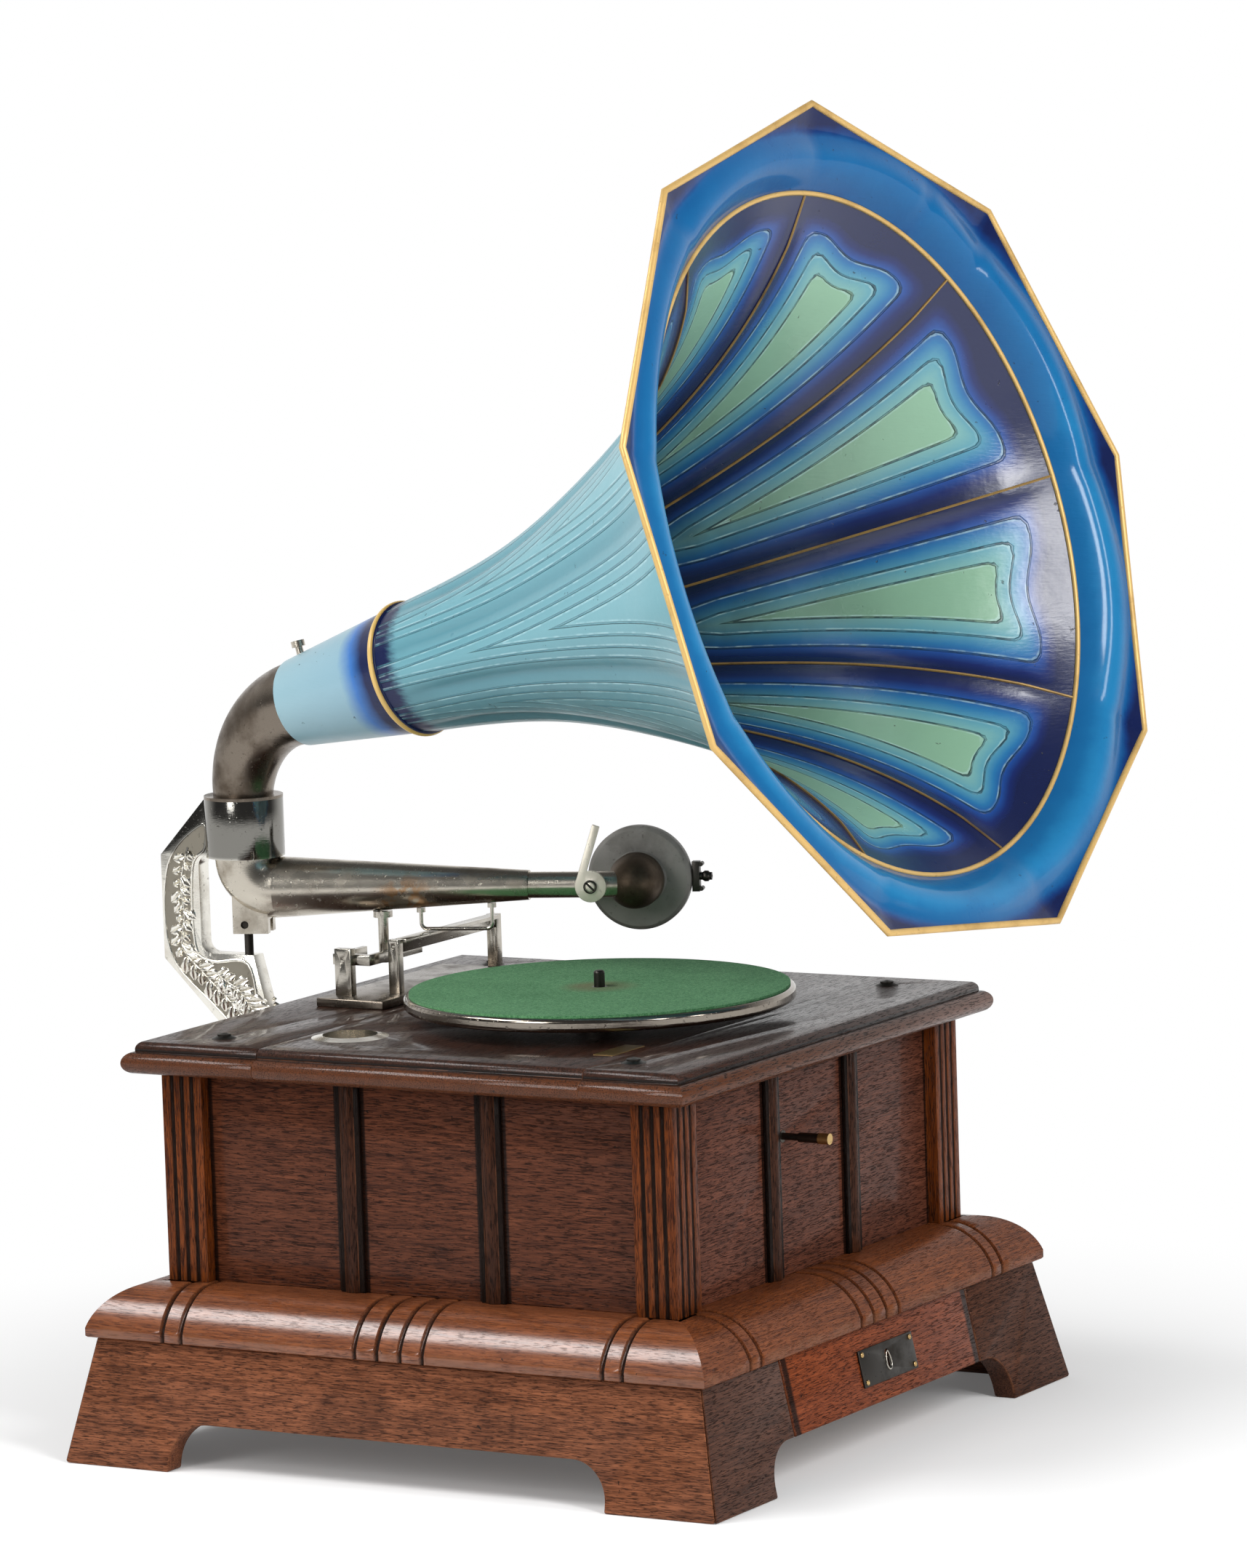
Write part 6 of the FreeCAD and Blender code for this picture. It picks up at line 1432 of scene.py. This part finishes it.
@dataclass
class Foliage:
    """Leaves in relief on both sides of the bracket's strut, inside a raised border."""

    shop: Workshop
    side: float = 6.0
    border: Pairs = (
        (272.0, 384.0), (300.5, 356.0), (301.0, 297.0), (263.0, 258.0), (204.0, 207.0),
        (200.0, 214.0), (200.0, 242.0), (211.0, 243.0), (230.0, 256.0), (239.5, 291.0),
        (268.0, 291.5), (281.0, 303.0), (281.0, 354.0), (270.5, 368.0))
    vine: Pairs = (
        (284.0, 368.0), (290.5, 345.0), (289.0, 322.0), (291.0, 300.0), (276.0, 284.0),
        (258.0, 268.0), (241.0, 252.0), (222.0, 234.0), (208.0, 222.0))
    branch: Pairs = ((266.0, 283.0), (249.0, 274.0), (240.0, 264.0), (228.0, 250.0), (212.0, 237.0))
    border_radius: float = 1.1
    stem_radius: float = 0.9
    stem_sink: float = 0.2
    ground_lift: float = 0.12
    vine_leaf: float = 0.68
    branch_leaf: float = 0.80
    leaf_length: float = 15.0
    leaf_width: float = 9.0
    leaf_rise: float = 2.8
    leaf_sink: float = 0.3
    leaf_spread: float = 0.95
    leaf_growth: float = 0.40
    leaf_change: float = 0.15
    leaf_grid: tuple[int, int] = (9, 7)

    def lay(self, path: Array, sign: int, rise: float) -> Array:
        """Lays a path of (y, z) points on a side of the strut, at a height above it."""
        return placed(np.insert(path, 0, sign * (self.side + rise), axis=1))

    def stem(self, name: str, line: Pairs, closed: bool, radius: float, sign: int) -> Piece:
        """The border or a stem as a wire on one side."""
        path = self.lay(smooth_path(line, closed), sign, -self.stem_sink)
        return self.shop.wire(f"{name}{sign}", path, radius, BRACKET, closed)

    def ground(self, sign: int) -> Piece:
        """The darker ground inside the border.

        Args:
            sign: the side of the strut.

        Returns:
            The piece.
        """
        ring = self.lay(smooth_path(self.border, True), sign, self.ground_lift)
        mesh = mesh_of(f"ground{sign}", ring, [], [tuple(range(len(ring)))[::-sign]])
        return link(f"ground{sign}", mesh, self.shop.finish(FOIL))

    def leaf(self, spot: Array, heading: float, size: float, sign: int) -> Array:
        """A pointed leaf with a raised rim and a sunk midrib.

        Args:
            spot: its foot as (y, z) in millimetres.
            heading: its direction.
            size: its share of the full size.
            sign: the side of the strut it lies on.

        Returns:
            A grid of its points in millimetres.
        """
        down, columns = self.leaf_grid
        along = np.linspace(0, 1, down)[:, None]
        across = np.linspace(-1, 1, columns)
        half = np.sin(np.pi * along ** 0.75) * self.leaf_width / 2 * (1 + 0.25 * np.sin(along * 14))
        rim = (0.25 + 0.75 * np.abs(np.sin(np.pi * across)) ** 0.8) * (np.abs(across) < 0.99)
        rise = self.leaf_rise * rim * np.sin(np.pi * np.minimum(1.0, along + 0.12))
        ahead, aside = along * self.leaf_length * size, across * half * size
        return np.stack([sign * (self.side + rise - self.leaf_sink),
                         spot[0] + ahead * math.cos(heading) - aside * math.sin(heading),
                         spot[1] + ahead * math.sin(heading) + aside * math.cos(heading)], axis=-1)

    def leaves(self, sign: int) -> Piece:
        """All leaves of one side.

        Args:
            sign: the side of the strut.

        Returns:
            The piece.
        """
        leaves = []
        for stem, least in ((self.vine, self.vine_leaf), (self.branch, self.branch_leaf)):
            path = smooth_path(stem, False)
            for index, step in enumerate(range(1, len(path) - 2)):
                y, z = path[step + 1] - path[step - 1]
                turn = math.atan2(z, y) + (self.leaf_spread if index % 2 else -self.leaf_spread)
                size = least + self.leaf_growth * step / len(path)
                size += self.leaf_change * math.sin(index * 2.1)
                leaves.append(self.leaf(path[step], turn, size, sign))
        count = math.prod(self.leaf_grid)
        faces = [tuple(count * index + corner for corner in face)
                 for index in range(len(leaves)) for face in grid_faces(*self.leaf_grid)]
        mesh = mesh_of(f"leaves{sign}", placed(np.array(leaves)), [], faces)
        with reworked(mesh, mesh) as form:
            if sum(face.normal.x for face in form.faces) * sign < 0:
                bmesh.ops.reverse_faces(form, faces=form.faces)
            bmesh.ops.dissolve_degenerate(form, dist=HAIR, edges=form.edges)
        shade(mesh, 60.0)
        return link(f"leaves{sign}", mesh, self.shop.finish(BRACKET))

    def build(self) -> None:
        """Makes border, stems, ground and leaves on both sides as one piece."""
        parts = []
        for sign in (-1, 1):
            parts += [self.stem("border", self.border, True, self.border_radius, sign),
                      self.stem("vine", self.vine, False, self.stem_radius, sign),
                      self.stem("branch", self.branch, False, self.stem_radius, sign),
                      self.ground(sign), self.leaves(sign)]
        self.shop.settle(self.shop.join("bracket_foliage", *parts), "case", "nickel")


@dataclass
class Machine:
    """Turntable, arm, lift gear, bracket and motor."""

    shop: Workshop
    gear_round: float = 0.6
    base_round: float = 0.8
    bracket_round: float = 1.5

    def build(self) -> None:
        """Gives every metal piece its finish."""
        shop = self.shop
        shop.dress(FELT, "felt_mat")
        shop.dress(DARK_NICKEL, "platter")
        shop.dress(STEEL, "spindle", "needle", "pivot_pin", "layshaft", "governor", "ratchet_pawl",
                   "motor_pillars")
        shop.dress(NICKEL, "tone_arm", "arm_crook")
        shop.dress(BRIGHT, "arm_stem", "arm_bail")
        shop.dress(CUP, "needle_cup")
        shop.soften(BRIGHT, "nickel", self.gear_round, "lift_posts", "trip_lever", "lift_rail")
        shop.soften(ELBOW, "nickel", self.base_round, "lift_base")
        shop.soften(BRACKET, "nickel", self.bracket_round, "horn_bracket")
        SoundBox(shop).build()
        Foliage(shop).build()
        shop.dress(BRASS, "spring_barrel")
        shop.dress(ARBOR, "winding_arbor")
        shop.dress(IRON, "motor_frame", "motor_lower_plate")


@dataclass(frozen=True)
class Lamp:
    """An area lamp at a spot, aimed at a height above the origin; in metres and watts."""

    name: str
    spot: tuple[float, float, float]
    aim: float
    size: tuple[float, float]
    power: float

    def build(self) -> None:
        """Puts the lamp into the scene."""
        data = bpy.data.lights.new(self.name, "AREA")
        data.shape = "RECTANGLE"
        data.size, data.size_y = self.size
        data.energy = self.power
        lamp = bpy.data.objects.new(self.name, data)
        lamp.location = self.spot
        sight = Vector((0, 0, self.aim)) - Vector(self.spot)
        lamp.rotation_euler = sight.to_track_quat("-Z", "Y").to_euler()
        bpy.context.scene.collection.objects.link(lamp)


@dataclass
class Studio:
    """Floor, light and camera."""

    azimuth: float = -59.63
    elevation: float = 6.99
    roll: float = -1.86
    distance: float = 4865.84
    offset: tuple[float, float] = (-30.83, -416.05)
    focal_pixels: float = 10204.19
    frame_height: int = 2156
    sensor: float = 36.0
    ambient: float = 0.34
    floor_half: float = 12.0
    paper: Colour = (0.93, 0.93, 0.93)
    white: Colour = (1.0, 1.0, 1.0)
    lamps: tuple[Lamp, ...] = (
        Lamp("key", (-1.10, -2.52, 2.0), 0.5, (0.48, 1.9), 52.0),
        Lamp("side", (-3.0, 0.6, 1.6), 0.3, (1.0, 1.4), 37.0),
        Lamp("front", (-0.05, -3.0, 1.75), 0.6, (0.34, 2.6), 34.0),
        Lamp("rear", (-1.35, 1.6, 2.5), 0.2, (1.6, 0.9), 52.0))

    def camera(self) -> None:
        """Sets the camera where the photograph was taken from."""
        turn, lift, roll = map(math.radians, (self.azimuth, self.elevation, self.roll))
        back = Vector((math.sin(turn) * math.cos(lift), -math.cos(turn) * math.cos(lift),
                       math.sin(lift)))
        right = Vector((0, 0, 1)).cross(back).normalized()
        up = back.cross(right)
        side = right * math.cos(roll) + up * math.sin(roll)
        head = up * math.cos(roll) - right * math.sin(roll)
        eye = back * self.distance - side * self.offset[0] - head * self.offset[1] + HOME
        data = bpy.data.cameras.new("camera")
        data.sensor_width = self.sensor
        data.lens = self.focal_pixels * self.sensor / self.frame_height
        data.clip_end = 50.0
        camera = bpy.data.objects.new("camera", data)
        matrix = Matrix((side, head, back)).transposed().to_4x4()
        matrix.translation = eye * MM
        camera.matrix_world = matrix
        bpy.context.scene.collection.objects.link(camera)
        bpy.context.scene.camera = camera

    def world(self) -> None:
        """A pale surround that lights softly and shows white."""
        world = bpy.data.worlds.new("surround")
        bpy.context.scene.world = world
        world.use_nodes = True
        nodes = Nodes(world.node_tree)
        where = nodes.sock(nodes.node("ShaderNodeTexCoord"), "Generated")
        turn = math.radians(self.azimuth)
        away = nodes.axis(where, "X") * -math.sin(turn) + nodes.axis(where, "Y") * math.cos(turn)
        backdrop = away.band(-0.10, 0.75) * nodes.axis(where, "Z").band(0.85, 0.25)
        glow = backdrop * 0.92 + 0.08
        strength = nodes.rays(*SEEN) * (glow - self.ambient) + self.ambient
        strength = nodes.rays(SEEN[0]) * (1.0 - strength) + strength
        shader = nodes.tree.nodes["Background"]
        plug(shader.inputs["Strength"], strength)
        plug(shader.inputs["Color"], self.white)

    def floor(self) -> None:
        """A plain pale floor that keeps the shadow and runs out to white."""
        paint = Palette("floor_paper", Base_Color=self.paper, Roughness=0.9, Specular_IOR_Level=0.1)
        away = paint.length("LENGTH", paint.place())
        share = paint.rays(*SEEN) * (away.band(0.30, 0.75) * 0.9 + 0.1)
        white = paint.node("ShaderNodeEmission", Color=self.white, Strength=1.0)
        blend = paint.node("ShaderNodeMixShader", None, share, paint.sock(paint.shader),
                           paint.sock(white))
        plug(paint.tree.nodes["Material Output"].inputs["Surface"], paint.sock(blend))
        half = self.floor_half
        corners = np.array([(-half, -half, 0), (half, -half, 0), (half, half, 0), (-half, half, 0)])
        mesh = mesh_of("floor", corners, [], [(0, 1, 2, 3)])
        link("floor", mesh, paint.material)

    def build(self) -> None:
        """Sets up floor, light and camera."""
        bpy.context.scene.view_settings.view_transform = "Standard"
        self.camera()
        self.world()
        self.floor()
        for lamp in self.lamps:
            lamp.build()


def main() -> None:
    """Builds the phonograph's looks and logs each piece that is set on a body."""
    logging.basicConfig(level=logging.INFO, format="%(name)s: %(message)s")
    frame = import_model()
    shop = Workshop(frame)
    Studio().build()
    Case(shop).build()
    Machine(shop).build()
    Horn(shop).build()


if __name__ == "__main__":
    main()
